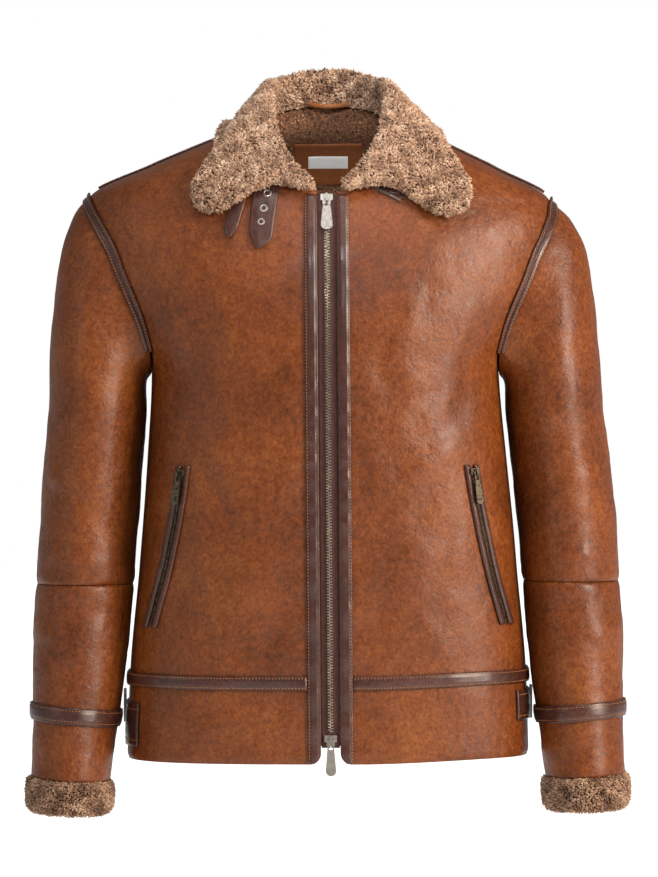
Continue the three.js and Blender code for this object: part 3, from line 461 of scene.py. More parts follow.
def evenly(points: np.ndarray, count: int) -> np.ndarray:
    """Evenly spaced points along each line of many.

    Args:
        points: Lines, as (lines, points, 3).
        count: Number of equal steps.

    Returns:
        The lines resampled, as (lines, count + 1, 3).
    """
    length = np.linalg.norm(np.diff(points, axis=1), axis=-1)
    run = np.concatenate([np.zeros((len(points), 1)), np.cumsum(length, axis=1)], axis=1)
    share = np.linspace(0.0, 1.0, count + 1)
    return np.stack(
        [
            np.stack([np.interp(share * r[-1], r, line[:, axis]) for axis in range(3)], axis=-1)
            for r, line in zip(run, points)
        ]
    )


def ripple(points: np.ndarray, size: float) -> np.ndarray:
    """A soft uneven relief, from -1 to 1: three turned waves that bend one another.

    Args:
        points: Places, X, Y, Z on the last axis.
        size: Rough distance from one hill to the next.

    Returns:
        The relief at each place.
    """
    x, y, z = (points[..., axis] * (2 * math.pi / size) for axis in range(3))
    bend = 1.3 * np.sin(0.61 * x - 0.47 * y + 0.39 * z + 0.7)
    first = np.sin(0.83 * x + 0.55 * z + bend)
    second = np.sin(-0.52 * x + 0.41 * y + 0.92 * z + 1.9 + 0.8 * first)
    third = np.sin(0.35 * x - 0.77 * y - 0.58 * z + 4.1 + second)
    return (first + second + third) / 3.0


class Torso:
    """The body's skin."""

    def __init__(self) -> None:
        """Fit the tables."""
        self.half = Column(TORSO, "half")
        self.power = Column(TORSO, "power")
        self.depths = {Facing.FRONT: Column(TORSO, "front"), Facing.BACK: Column(TORSO, "back")}
        self.edges = {Facing.FRONT: Column(ARMHOLE, "front"), Facing.BACK: Column(ARMHOLE, "back")}
        self.neck_front = Column(NECK_FRONT, "x")
        self.neck_back = Column(NECK_BACK, "x")
        self.across = Column(SETTLE, "across")
        self.up = Column(SETTLE, "up")

    def settle(self, points: np.ndarray) -> np.ndarray:
        """Where points end up once the wearer's left side has settled.

        Args:
            points: Places before settling.

        Returns:
            The settled places.
        """
        share = smooth(30.0, 180.0, points[..., 0])
        z = points[..., 2]
        moved = points.copy()
        moved[..., 0] += share * self.across(z)
        moved[..., 2] += share * self.up(z)
        return moved

    def fill(self, points: np.ndarray, facing: Facing) -> np.ndarray:
        """(x/half)^power + (y/depth)^power - 1: below 0 inside the body, 0 on its skin.

        Args:
            points: Places.
            facing: Half of the body that they belong to.

        Returns:
            The fill of each place.
        """
        x, y, z = (points[..., axis] for axis in range(3))
        power = self.power(z)
        wide = (np.abs(x) / self.half(z)) ** power
        return wide + (np.abs(y) / self.depths[facing](z)) ** power - 1.0

    def gradient(self, points: np.ndarray, facing: Facing) -> np.ndarray:
        """Slope of the fill by central differences.

        Args:
            points: Places.
            facing: Half of the body.

        Returns:
            The slope's three parts for each millimetre.
        """
        step = 0.05
        parts = [
            (self.fill(points + step * axis, facing) - self.fill(points - step * axis, facing))
            for axis in np.eye(3)
        ]
        return np.stack(parts, axis=-1) / (2 * step)

    def normal(self, points: np.ndarray, facing: Facing) -> np.ndarray:
        """Outward direction of the skin.

        Args:
            points: Places.
            facing: Half of the body.

        Returns:
            Unit vectors.
        """
        return unit(self.gradient(points, facing))

    def relief(self, points: np.ndarray, facing: Facing) -> np.ndarray:
        """Height of the creases: bell-shaped ridges, long one way and narrow across.

        Args:
            points: Places on the skin.
            facing: Half of the body.

        Returns:
            Heights over the smooth skin.
        """
        x, z = points[..., 0], points[..., 2]
        fade = 1.0 - np.minimum(1.0, np.abs(x) / self.half(z)) ** 8
        total = np.zeros_like(x)
        for crease in (c for c in CREASES if c.facing is facing):
            turn = math.radians(crease.turn)
            dx, dz = x - crease.x, z - crease.z
            along = (dx * math.sin(turn) + dz * math.cos(turn)) / crease.long
            across = (dx * math.cos(turn) - dz * math.sin(turn)) / crease.wide
            total += crease.high * np.exp(-4 * along**2 - across**2)
        uneven = 0.75 * ripple(points, 74.0) + 0.35 * ripple(points[..., [1, 2, 0]], 31.0)
        pucker = self.placket_pucker(points) if facing is Facing.FRONT else 0.0
        return fade * (total + uneven + pucker)

    def placket_pucker(self, points: np.ndarray) -> np.ndarray:
        """Short cross dents that the zip's seam draws into the fronts, unevenly spaced.

        Args:
            points: Places on the front.

        Returns:
            Heights over the skin.
        """
        x, z = points[..., 0], points[..., 2]
        away = np.abs(x - zip_middle(z)) - ZIP_HALF - PLACKET
        phase = z / 21.0 + 0.9 * np.sin(z / 57.0) + 0.6 * np.sign(x)
        reach = np.exp(-((away / 15.0) ** 2))
        low = smooth(NECK_FRONT_Z, NECK_FRONT_Z - 60.0, z)
        return 0.55 * reach * low * np.sin(phase * 2 * math.pi / 1.35)

    def on_skin(
        self, points: np.ndarray, facing: Facing, lift: np.ndarray | float = 0.0
    ) -> tuple[np.ndarray, np.ndarray]:
        """Skin points with the creases, moved out by a lift.

        Args:
            points: Places on the smooth skin.
            facing: Half of the body.
            lift: Height over the skin.

        Returns:
            The moved places and the outward directions.
        """
        n = self.normal(points, facing)
        height = self.relief(points, facing) + lift
        return points + n * np.asarray(height)[..., None], n

    def over(
        self, x: np.ndarray, z: np.ndarray, facing: Facing, lift: np.ndarray | float = 0.0
    ) -> tuple[np.ndarray, np.ndarray]:
        """Skin points over sideways places and heights.

        Args:
            x: Sideways places.
            z: Heights.
            facing: Half of the body.
            lift: Height over the skin.

        Returns:
            The places and the outward directions.
        """
        x, z = np.broadcast_arrays(np.asarray(x, float), np.asarray(z, float))
        power = self.power(z)
        rest = np.maximum(0.0, 1.0 - (np.abs(x) / self.half(z)) ** power)
        y = facing.value * self.depths[facing](z) * rest ** (1.0 / power)
        return self.on_skin(stack(x, y, z), facing, lift)

    def smooth_rows(
        self,
        side: Side,
        facing: Facing,
        z: np.ndarray,
        from_x: np.ndarray,
        to_y: np.ndarray,
        count: int,
    ) -> np.ndarray:
        """Evenly spaced points of each level, from a sideways place to a depth.

        Args:
            side: Side of the wearer.
            facing: Half of the body.
            z: Height of each level.
            from_x: Sideways distance where each level begins.
            to_y: Depth where each level ends.
            count: Steps in a level.

        Returns:
            Points of the smooth skin, as (levels, count + 1, 3).
        """
        power, half, depth = self.power(z), self.half(z), self.depths[facing](z)
        start = np.arccos(np.minimum(1.0, (np.maximum(from_x, 0.0) / half) ** (power / 2)))
        stop = np.arcsin((to_y / depth) ** (power / 2))
        share = np.linspace(0.0, 1.0, 161)
        angle = start[:, None] + (stop - start)[:, None] * share
        x = side.value * half[:, None] * np.clip(np.cos(angle), 0, 1) ** (2 / power)[:, None]
        y = facing.value * depth[:, None] * np.clip(np.sin(angle), 0, 1) ** (2 / power)[:, None]
        return evenly(stack(x, y, z[:, None]), count)

    def edge_depth(self, z: np.ndarray, facing: Facing) -> np.ndarray:
        """Depth at which a level ends: side seam, armhole or shoulder seam.

        Args:
            z: Heights.
            facing: Half of the body.

        Returns:
            The depths.
        """
        closed = (z < UNDERARM_Z) | (z > SHOULDER_Z)
        return np.where(closed, SEAM, self.edges[facing](z))

    def front_start(self, side: Side, z: np.ndarray) -> np.ndarray:
        """Sideways distance at which a front begins: the zip, or the neck above it.

        Args:
            side: Side of the wearer.
            z: Heights.

        Returns:
            The distances, with the hem's round corner.
        """
        rise = np.maximum(0.0, HEM_CORNER - (z - HEM_Z))
        corner = HEM_CORNER - np.sqrt(np.maximum(HEM_CORNER**2 - rise**2, 0.0))
        low = side.value * zip_middle(z) + ZIP_HALF + corner
        return np.where(z > NECK_FRONT_Z, self.neck_front(z), low)


def zip_middle(z: np.ndarray | float) -> np.ndarray:
    """Sideways place of the zip, which leans a little.

    Args:
        z: Heights.

    Returns:
        The places.
    """
    return -1.5 + (np.asarray(z, float) - NECK_FRONT_Z) / (HEM_Z - NECK_FRONT_Z) * 4.5


TORSO_FORM = Torso()


@dataclass
class Grid:
    """A grid of surface points with their outward directions."""

    points: np.ndarray
    normals: np.ndarray
    ring: bool = False

    @classmethod
    def faced(cls, points: np.ndarray, turn: float, ring: bool = False) -> Grid:
        """Grid of plain points whose directions come from its own slopes.

        Args:
            points: Places, as (rows, columns, 3).
            turn: 1 or -1, which side is outward.
            ring: Whether the columns close on themselves.

        Returns:
            The grid.
        """
        down = np.gradient(points, axis=0)
        if ring:
            across = np.roll(points, -1, axis=1) - np.roll(points, 1, axis=1)
        else:
            across = np.gradient(points, axis=1)
        return cls(points, unit(np.cross(across, down)) * turn, ring)

    def lifted(self, height: np.ndarray | float) -> Grid:
        """The grid moved along its outward directions.

        Args:
            height: How far, one number or one for each point.

        Returns:
            The moved grid.
        """
        height = np.asarray(height, float)
        moved = self.points + self.normals * (height[..., None] if height.ndim else height)
        return Grid(moved, self.normals, self.ring)

    def settled(self) -> Grid:
        """The grid once the wearer's left side has settled.

        Returns:
            The settled grid.
        """
        return Grid(TORSO_FORM.settle(self.points), self.normals, self.ring)

    def at_edge(self, axis: int, place: int) -> tuple[np.ndarray, np.ndarray]:
        """One row or column.

        Args:
            axis: 0 for a row, 1 for a column.
            place: Its number.

        Returns:
            Its places and outward directions.
        """
        return np.take(self.points, place, axis), np.take(self.normals, place, axis)

    def at(self, row: np.ndarray, column: np.ndarray) -> tuple[np.ndarray, np.ndarray]:
        """Points and directions between the grid's own, by linear blending.

        Args:
            row: Rows, with fractions.
            column: Columns, with fractions.

        Returns:
            The places and unit directions.
        """
        rows, columns = self.points.shape[:2]
        i = np.clip(row.astype(int), 0, rows - 2)
        j = np.clip(column.astype(int), 0, columns - (1 if self.ring else 2))
        u, v = (row - i)[:, None], (column - j)[:, None]
        k = (j + 1) % columns
        blend = [
            (1 - u) * ((1 - v) * data[i, j] + v * data[i, k])
            + u * ((1 - v) * data[i + 1, j] + v * data[i + 1, k])
            for data in (self.points, self.normals)
        ]
        return blend[0], unit(blend[1])

    def areas(self) -> np.ndarray:
        """Area of each cell.

        Returns:
            Square millimetres, as (rows - 1, cells in a row).
        """
        p = self.points if not self.ring else np.concatenate([self.points, self.points[:, :1]], 1)
        one, two = p[1:, 1:] - p[:-1, :-1], p[1:, :-1] - p[:-1, 1:]
        return 0.5 * np.linalg.norm(np.cross(one, two), axis=-1)


@dataclass
class Soup:
    """Vertices and faces that are gathered before they become one mesh."""

    places: list[np.ndarray] = field(default_factory=list)
    faces: list[np.ndarray] = field(default_factory=list)
    count: int = 0

    def add(self, places: np.ndarray, faces: np.ndarray) -> None:
        """Add a part with its own numbering.

        Args:
            places: Vertices, in millimetres.
            faces: Corner numbers of equal-sided faces.
        """
        self.places.append(places.reshape(-1, 3))
        self.faces.append(faces.reshape(-1, faces.shape[-1]) + self.count)
        self.count += places.reshape(-1, 3).shape[0]


def build_mesh(
    name: str,
    places: np.ndarray,
    faces: Sequence[np.ndarray],
    materials: Sequence[bpy.types.Material],
    slots: np.ndarray | None = None,
    shade_smooth: bool = True,
) -> bpy.types.Object:
    """Write whole arrays into a new mesh object at the origin.

    Args:
        name: Name of the piece.
        places: Vertices in millimetres.
        faces: Arrays of corner numbers, one array for each number of sides.
        materials: Materials in slot order.
        slots: Material number of each face.
        shade_smooth: Whether faces are shaded smooth.

    Returns:
        The new object.
    """
    mesh = bpy.data.meshes.new(name)
    counts = np.concatenate([np.full(len(f), f.shape[1]) for f in faces])
    corners = np.concatenate([f.ravel() for f in faces]).astype(np.int32)
    mesh.vertices.add(len(places))
    mesh.vertices.foreach_set("co", (places * METRES).astype(np.float32).ravel())
    mesh.loops.add(len(corners))
    mesh.loops.foreach_set("vertex_index", corners)
    mesh.polygons.add(len(counts))
    starts = np.concatenate([[0], np.cumsum(counts)[:-1]]).astype(np.int32)
    mesh.polygons.foreach_set("loop_start", starts)
    mesh.update(calc_edges=True)
    mesh.polygons.foreach_set("use_smooth", np.full(len(counts), shade_smooth))
    if slots is not None:
        mesh.polygons.foreach_set("material_index", slots.astype(np.int32))
    for material in materials:
        mesh.materials.append(material)
    mesh.validate()
    piece = bpy.data.objects.new(name, mesh)
    bpy.context.scene.collection.objects.link(piece)
    return piece


def wall_faces(rows: int, columns: int, ring: bool) -> tuple[np.ndarray, np.ndarray, np.ndarray]:
    """Faces of a closed wall: outer side, inner side and the rims between them.

    Args:
        rows: Rows of the grid.
        columns: Columns of the grid.
        ring: Whether the columns close on themselves.

    Returns:
        Corner numbers of the outer, inner and rim faces, all turned outward for a grid whose
        directions are across x down.
    """
    number = np.arange(rows * columns).reshape(rows, columns)
    if ring:
        number = np.concatenate([number, number[:, :1]], axis=1)
    a, b, c, d = number[:-1, :-1], number[1:, :-1], number[1:, 1:], number[:-1, 1:]
    outer = np.stack([a, d, c, b], axis=-1).reshape(-1, 4)
    deep = rows * columns
    inner = outer[:, ::-1] + deep

    def rim(line: np.ndarray) -> np.ndarray:
        """Faces that join one edge of the outer side to the inner side.

        Args:
            line: Corner numbers along the edge.

        Returns:
            Its faces.
        """
        one, two = line[:-1], line[1:]
        return np.stack([one, two, two + deep, one + deep], axis=-1)

    edges = [rim(number[0][::-1]), rim(number[-1])]
    if not ring:
        edges += [rim(number[:, 0]), rim(number[::-1, -1])]
    return outer, inner, np.concatenate(edges)


def wall(
    name: str,
    grid: Grid,
    thick: np.ndarray | float,
    materials: Sequence[bpy.types.Material],
    lining: int = 0,
    rim: int = 0,
) -> bpy.types.Object:
    """Closed thin piece under a grid of outer points.

    Args:
        name: Name of the piece.
        grid: Outer side, settled already.
        thick: Wall, one number or one for each point.
        materials: Materials in slot order.
        lining: Material number of the inner side.
        rim: Material number of the cut edges.

    Returns:
        The new object.
    """
    rows, columns = grid.points.shape[:2]
    outer, inner, edges = wall_faces(rows, columns, grid.ring)
    under = grid.lifted(-np.asarray(thick, float)).points
    places = np.concatenate([grid.points.reshape(-1, 3), under.reshape(-1, 3)])
    faces = np.concatenate([outer, inner, edges])
    first = places[outer[len(outer) // 2]]
    facing = np.cross(first[1] - first[0], first[2] - first[1])
    middle = grid.normals.reshape(-1, 3)[outer[len(outer) // 2][0]]
    if np.dot(facing, middle) < 0:
        faces = faces[:, ::-1]
    slots = np.repeat([0, lining, rim], [len(outer), len(inner), len(edges)])
    return build_mesh(name, places, [faces], materials, slots)


def linear(hex_colour: str) -> tuple[float, float, float, float]:
    """Screen colour as linear light.

    Args:
        hex_colour: Six digits, red, green, blue.

    Returns:
        Linear red, green, blue and an alpha of one.
    """
    parts = [int(hex_colour[i : i + 2], 16) / 255.0 for i in (0, 2, 4)]
    light = [p / 12.92 if p <= 0.04045 else ((p + 0.055) / 1.055) ** 2.4 for p in parts]
    return (light[0], light[1], light[2], 1.0)


class Shader:
    """A material's node tree, built by small steps."""

    def __init__(self, name: str) -> None:
        """Make an empty material with a Principled shader and object coordinates.

        Args:
            name: Name of the material.
        """
        self.material = bpy.data.materials.new(name)
        self.material.use_nodes = True
        self.tree = self.material.node_tree
        self.tree.nodes.clear()
        self.output = self.add("ShaderNodeOutputMaterial")
        self.surface = self.add("ShaderNodeBsdfPrincipled")
        self.tree.links.new(self.surface.outputs["BSDF"], self.output.inputs["Surface"])
        self.place = self.add("ShaderNodeTexCoord").outputs["Object"]

    def add(self, kind: str, **settings: object) -> bpy.types.Node:
        """Add a node; a setting whose name is a socket's is set or linked there.

        Args:
            kind: Node type.
            settings: Properties of the node, or inputs with spaces written as underscores.

        Returns:
            The node.
        """
        node = self.tree.nodes.new(kind)
        for key, value in settings.items():
            if key in node.bl_rna.properties:
                setattr(node, key, value)
        sockets = {socket.name.replace(" ", "_"): socket for socket in reversed(node.inputs)}
        for key, value in settings.items():
            if key in node.bl_rna.properties:
                continue
            if isinstance(value, bpy.types.NodeSocket):
                self.tree.links.new(value, sockets[key])
            else:
                sockets[key].default_value = value
        return node

    def noise(self, size: float, detail: float = 3.0, rough: float = 0.55) -> bpy.types.NodeSocket:
        """Noise whose features are about a size apart.

        Args:
            size: Millimetres from one feature to the next.
            detail: Finer layers.
            rough: Strength of the finer layers.

        Returns:
            The noise's value, about 0.5 in the middle.
        """
        node = self.add(
            "ShaderNodeTexNoise",
            Vector=self.place,
            Scale=1.0 / (size * METRES),
            Detail=detail,
            Roughness=rough,
        )
        return node.outputs["Fac"]

    def cells(self, size: float, feature: str = "F1") -> bpy.types.NodeSocket:
        """Distance pattern of random cells.

        Args:
            size: Millimetres across a cell.
            feature: Kind of distance.

        Returns:
            The distance.
        """
        node = self.add(
            "ShaderNodeTexVoronoi", feature=feature, Vector=self.place, Scale=1.0 / (size * METRES)
        )
        return node.outputs["Distance"]

    def span(
        self, value: bpy.types.NodeSocket, low: float, high: float, to_low: float, to_high: float
    ) -> bpy.types.NodeSocket:
        """Map a value's span onto another, kept inside it.

        Args:
            value: Value to map.
            low: Start of its span.
            high: End of its span.
            to_low: What the start becomes.
            to_high: What the end becomes.

        Returns:
            The mapped value.
        """
        node = self.add("ShaderNodeMapRange", Value=value)
        for key, number in (("From Min", low), ("From Max", high)):
            node.inputs[key].default_value = number
        for key, number in (("To Min", to_low), ("To Max", to_high)):
            node.inputs[key].default_value = number
        return node.outputs["Result"]

    def math(
        self, operation: str, one: bpy.types.NodeSocket | float, two: bpy.types.NodeSocket | float
    ) -> bpy.types.NodeSocket:
        """Combine two values.

        Args:
            operation: Kind of sum.
            one: First value.
            two: Second value.

        Returns:
            The result.
        """
        node = self.add("ShaderNodeMath", operation=operation)
        for socket, value in zip(node.inputs, (one, two)):
            if isinstance(value, bpy.types.NodeSocket):
                self.tree.links.new(value, socket)
            else:
                socket.default_value = value
        return node.outputs["Value"]

    def ramp(
        self, value: bpy.types.NodeSocket, stops: Sequence[tuple[float, str]]
    ) -> bpy.types.NodeSocket:
        """Colour by value.

        Args:
            value: Value from 0 to 1.
            stops: Places and colours, in order.

        Returns:
            The colour.
        """
        node = self.add("ShaderNodeValToRGB", Fac=value)
        elements = node.color_ramp.elements
        while len(elements) < len(stops):
            elements.new(1.0)
        for element, (place, colour) in zip(elements, stops):
            element.position = place
            element.color = linear(colour)
        return node.outputs["Color"]

    def mix(
        self, share: bpy.types.NodeSocket | float, one: bpy.types.NodeSocket, two: object
    ) -> bpy.types.NodeSocket:
        """Blend two colours.

        Args:
            share: Share of the second colour.
            one: First colour.
            two: Second colour, a socket or linear numbers.

        Returns:
            The blend.
        """
        node = self.add("ShaderNodeMix", data_type="RGBA")
        sockets = (node.inputs[0], node.inputs[6], node.inputs[7])
        for socket, value in zip(sockets, (share, one, two)):
            if isinstance(value, bpy.types.NodeSocket):
                self.tree.links.new(value, socket)
            else:
                socket.default_value = value
        return node.outputs[2]

    def bump(self, layers: Sequence[tuple[bpy.types.NodeSocket, float, float]]) -> None:
        """Small relief of the surface, in layers.

        Args:
            layers: Height from 0 to 1, its depth in millimetres and its strength.
        """
        normal = None
        for height, depth, strength in layers:
            node = self.add(
                "ShaderNodeBump", Height=height, Distance=depth * METRES, Strength=strength
            )
            if normal is not None:
                self.tree.links.new(normal, node.inputs["Normal"])
            normal = node.outputs["Normal"]
        self.tree.links.new(normal, self.surface.inputs["Normal"])

    def put(self, **values: object) -> None:
        """Set or link inputs of the Principled shader.

        Args:
            values: Inputs with spaces written as underscores.
        """
        for key, value in values.items():
            socket = self.surface.inputs[key.replace("_", " ")]
            if isinstance(value, bpy.types.NodeSocket):
                self.tree.links.new(value, socket)
            else:
                socket.default_value = value


@dataclass(frozen=True)
class Hide:
    """A leather: colours from deep to light, grain, shine and sheen."""

    name: str
    deep: str
    middle: str
    light: str
    grain: float  # millimetres across a grain cell
    relief: float  # millimetres of grain depth
    rough: tuple[float, float]
    sheen: float
    coat: float
    wrinkle: float = 0.0

    def build(self) -> bpy.types.Material:
        """Leather: pebbled grain, cloudy colour with painted shade in the sunken grooves between the
        pebbles, polish where the grain stands high.

        Returns:
            The material.
        """
        shader = Shader(self.name)
        cloud = shader.noise(74.0, 3.0, 0.5)
        fleck = shader.noise(self.grain * 1.9, 2.0, 0.6)
        pebble = shader.cells(self.grain, "SMOOTH_F1")
        crumple = shader.noise(self.grain * 3.4, 3.0, 0.7)
        tone = shader.math("MULTIPLY", cloud, 0.42)
        tone = shader.math("ADD", tone, shader.math("MULTIPLY", fleck, 0.3))
        tone = shader.math("ADD", tone, shader.math("MULTIPLY", crumple, 0.28))
        stops = ((0.34, self.deep), (0.5, self.middle), (0.7, self.light))
        colour = shader.ramp(tone, stops)
        # Painted shade: the sunken grooves between the grain's pebbles turn towards the deep colour, up
        # to 0.55 of it.
        pit_shade = shader.span(pebble, 0.35, 0.75, 0.0, 0.55)
        colour = shader.mix(pit_shade, colour, linear(self.deep))
        shader.put(Base_Color=colour, Metallic=0.0, Specular_IOR_Level=0.3)
        rough = shader.span(crumple, 0.35, 0.65, self.rough[0], self.rough[1])
        shader.put(Roughness=rough, Sheen_Weight=self.sheen, Sheen_Roughness=0.4)
        shader.put(Sheen_Tint=linear(self.light), Coat_Weight=self.coat, Coat_Roughness=0.3)
        layers = [(shader.noise(26.0, 3.0, 0.6), 2.2, self.wrinkle)] if self.wrinkle else []
        layers.append((crumple, self.relief * 1.6, 0.55))
        layers.append((pebble, -self.relief, 0.6))
        shader.bump(layers)
        return shader.material


@dataclass(frozen=True)
class Fleece:
    """Sheared wool: colours of the tufts, read from their own tone, and painted shade at their roots,
    read from their height.
    """

    name: str
    root: str
    low: str
    high: str
    tip: str

    def build(self) -> bpy.types.Material:
        """Wool: painted shade at the roots between the curls, lighter towards their tips, patchy from
        curl to curl.

        Returns:
            The material.
        """
        shader = Shader(self.name)
        tuft = shader.add("ShaderNodeAttribute", attribute_name="tuft")
        parts = shader.add("ShaderNodeSeparateXYZ", Vector=tuft.outputs["Vector"])
        height, tone = parts.outputs["X"], parts.outputs["Y"]
        body = shader.ramp(tone, ((0.08, self.low), (0.55, self.high), (0.95, self.tip)))
        # Painted shade: towards each tuft's foot the colour turns to the colour of the roots, up to
        # 0.92 of it; pieces without tufts' heights, such as the collar and cuff pelts, take nearly all
        # of it.
        depth = shader.span(height, 0.1, 0.85, 0.92, 0.0)
        shader.put(Base_Color=shader.mix(depth, body, linear(self.root)), Roughness=0.78)
        shader.put(Sheen_Weight=0.55, Sheen_Roughness=0.45, Sheen_Tint=linear(self.tip))
        shader.bump([(shader.noise(0.9, 2.0, 0.6), 0.35, 0.6)])
        return shader.material


@dataclass(frozen=True)
class Lining:
    """The clipped wool side of the sheepskin, as a matted surface."""

    name: str
    deep: str
    light: str

    def build(self) -> bpy.types.Material:
        """Matted wool: small curled clumps in two tones, with painted shade in the hollows between the
        clumps.

        Returns:
            The material.
        """
        shader = Shader(self.name)
        clump = shader.cells(3.2, "SMOOTH_F1")
        curl = shader.noise(2.4, 4.0, 0.7)
        # Two tones from the curl noise, and painted shade: the tone falls towards the deep colour at
        # the clumps' edges, which the bump sinks into hollows.
        tone = shader.math("MULTIPLY", shader.math("SUBTRACT", 1.0, clump), curl)
        shader.put(Base_Color=shader.ramp(tone, ((0.1, self.deep), (0.42, self.light))))
        shader.put(Roughness=0.9, Sheen_Weight=0.5, Sheen_Roughness=0.5)
        shader.put(Sheen_Tint=linear(self.light))
        shader.bump([(clump, -1.6, 0.9), (curl, 1.2, 0.8)])
        return shader.material


@dataclass(frozen=True)
class AgedMetal:
    """A plated metal with dark tarnish in its hollows and scuffs on its faces."""

    name: str
    bright: str
    tarnish: str
    rough: tuple[float, float]

    def build(self) -> bpy.types.Material:
        """Metal: tarnish in cloudy patches, fine scuffs, softly uneven polish.

        Returns:
            The material.
        """
        shader = Shader(self.name)
        patch = shader.noise(3.4, 4.0, 0.65)
        scuff = shader.noise(0.6, 2.0, 0.5)
        colour = shader.ramp(patch, ((0.38, self.tarnish), (0.58, self.bright)))
        shader.put(Base_Color=colour, Metallic=1.0)
        shader.put(Roughness=shader.span(patch, 0.35, 0.65, self.rough[1], self.rough[0]))
        shader.bump([(patch, 0.05, 0.35), (scuff, 0.02, 0.4)])
        return shader.material


@dataclass(frozen=True)
class Weave:
    """A woven cloth of crossing yarns."""

    name: str
    deep: str
    light: str
    yarn: float

    def build(self) -> bpy.types.Material:
        """Cloth: yarns across and along, one over the other, with a little slub and painted shade
        between the yarns.

        Returns:
            The material.
        """
        shader = Shader(self.name)
        waves = []
        for direction in ("X", "Z"):
            wave = shader.add(
                "ShaderNodeTexWave",
                bands_direction=direction,
                Vector=shader.place,
                Scale=math.pi / 10.0 / (self.yarn * METRES),
                Distortion=0.6,
            )
            waves.append(wave.outputs["Fac"])
        yarns = shader.math("MULTIPLY", *waves)
        # Painted shade between the yarns, where the bump lies low, with random slub from the noise.
        slub = shader.math("MULTIPLY", yarns, shader.noise(5.0))
        shader.put(Base_Color=shader.ramp(slub, ((0.05, self.deep), (0.5, self.light))))
        shader.put(Roughness=0.85, Sheen_Weight=0.2, Sheen_Roughness=0.5)
        shader.put(Sheen_Tint=linear(self.light))
        shader.bump([(yarns, 0.3, 0.7)])
        return shader.material


# Waxed russet sheepskin: dark clouds, worn lighter where it is rubbed
WAXED_SKIN = Hide(
    "waxed_sheepskin", "4a230a", "703711", "8d4f1d", 2.3, 0.46, (0.36, 0.54), 0.0, 0.12, 1.0
)
# Dark chocolate goatskin of the strips, smoother and more polished
GOATSKIN = Hide("goatskin_strip", "2a1510", "43231b", "5c362a", 1.5, 0.16, (0.3, 0.44), 0.0, 0.45)
# Tan calf behind the neck, and the natural tan calf of the hanging loop
CALF = Hide("tan_calf", "6d3a17", "854a22", "985c2e", 1.6, 0.14, (0.5, 0.7), 0.0, 0.05)
LOOP_CALF = Hide("natural_calf", "6d3d1c", "8a5228", "9c6535", 1.4, 0.12, (0.45, 0.6), 0.1, 0.1)
# Brown wool of the collar and cuffs: painted shade at the roots, honey tips
WOOL = Fleece("sheared_wool", "2c180e", "5c3a27", "b08a6e", "e2c2a6")
# The same wool in the shade of the neck, clipped shorter, with the same painted shade at the roots
NECK_WOOL = Fleece("clipped_wool", "2f190d", "6b4229", "a87a58", "d9ae8a")
LINING = Lining("matted_wool", "33190d", "80573a")
# Antique silver plate and antique brass of the zips
SILVER = AgedMetal("antique_silver", "a39d97", "8b857f", (0.34, 0.46))
TEETH = AgedMetal("antique_teeth", "c9bfa9", "857b69", (0.3, 0.45))
BRASS = AgedMetal("antique_brass", "756a58", "39332b", (0.34, 0.5))
# Maroon cotton tape of the zip, and the plain woven label
TAPE = Weave("cotton_tape", "4a2a26", "7c5850", 0.7)
LABEL = Weave("label_cotton", "f0eeea", "fbfaf8", 0.5)
# Waxed sewing thread
THREAD = Weave("waxed_thread", "a5652f", "dc9a58", 0.3)
DARK_THREAD = Weave("dark_thread", "4a281c", "8a5a46", 0.3)


def refine(points: np.ndarray, factor: int) -> np.ndarray:
    """More rows between the rows of a grid, on cubic curves through them.

    Args:
        points: Grid, as (rows, columns, 3).
        factor: New rows for each old one.

    Returns:
        The finer grid.
    """
    count = len(points)
    at = np.linspace(0.0, count - 1.0, (count - 1) * factor + 1)
    i = np.minimum(at.astype(int), count - 2)
    t = (at - i)[:, None, None]
    slope = np.gradient(points, axis=0)
    t2, t3 = t * t, t * t * t
    return (
        points[i] * (2 * t3 - 3 * t2 + 1)
        + points[i + 1] * (3 * t2 - 2 * t3)
        + slope[i] * (t3 - 2 * t2 + t)
        + slope[i + 1] * (t3 - t2)
    )


def catmull_rom(points: np.ndarray, steps: int) -> np.ndarray:
    """Centripetal Catmull-Rom curves through the points of each line.

    Args:
        points: Lines, as (points, lines, 3).
        steps: Equal steps of the parameter over the whole line.

    Returns:
        Points of the curves, as (steps + 1, lines, 3).
    """
    ends = (2 * points[:1] - points[1:2], 2 * points[-1:] - points[-2:-1])
    full = np.concatenate([ends[0], points, ends[1]])
    at = np.linspace(0.0, len(points) - 1.0, steps + 1)
    i = np.minimum(at.astype(int), len(points) - 2)
    t = (at - i)[:, None, None]
    p = [full[i + k] for k in range(4)]
    gap = [np.linalg.norm(p[k + 1] - p[k], axis=-1, keepdims=True) ** 0.5 for k in range(3)]
    one = (p[1] - p[0]) / gap[0] - (p[2] - p[0]) / (gap[0] + gap[1]) + (p[2] - p[1]) / gap[1]
    two = (p[2] - p[1]) / gap[1] - (p[3] - p[1]) / (gap[1] + gap[2]) + (p[3] - p[2]) / gap[2]
    one, two = one * gap[1], two * gap[1]
    t2, t3 = t * t, t * t * t
    return (
        p[1] * (2 * t3 - 3 * t2 + 1)
        + p[2] * (3 * t2 - 2 * t3)
        + one * (t3 - 2 * t2 + t)
        + two * (t3 - t2)
    )


def spaced(low: float, high: float, cell: float = CELL) -> np.ndarray:
    """Evenly spaced heights about a cell apart.

    Args:
        low: First height.
        high: Last height.
        cell: Largest gap.

    Returns:
        The heights.
    """
    return np.linspace(low, high, max(2, math.ceil(abs(high - low) / cell) + 1))


ARMHOLE_PARTS = (8, 6, 5, 6, 7, 7, 7, 7, 6, 5, 5, 6)


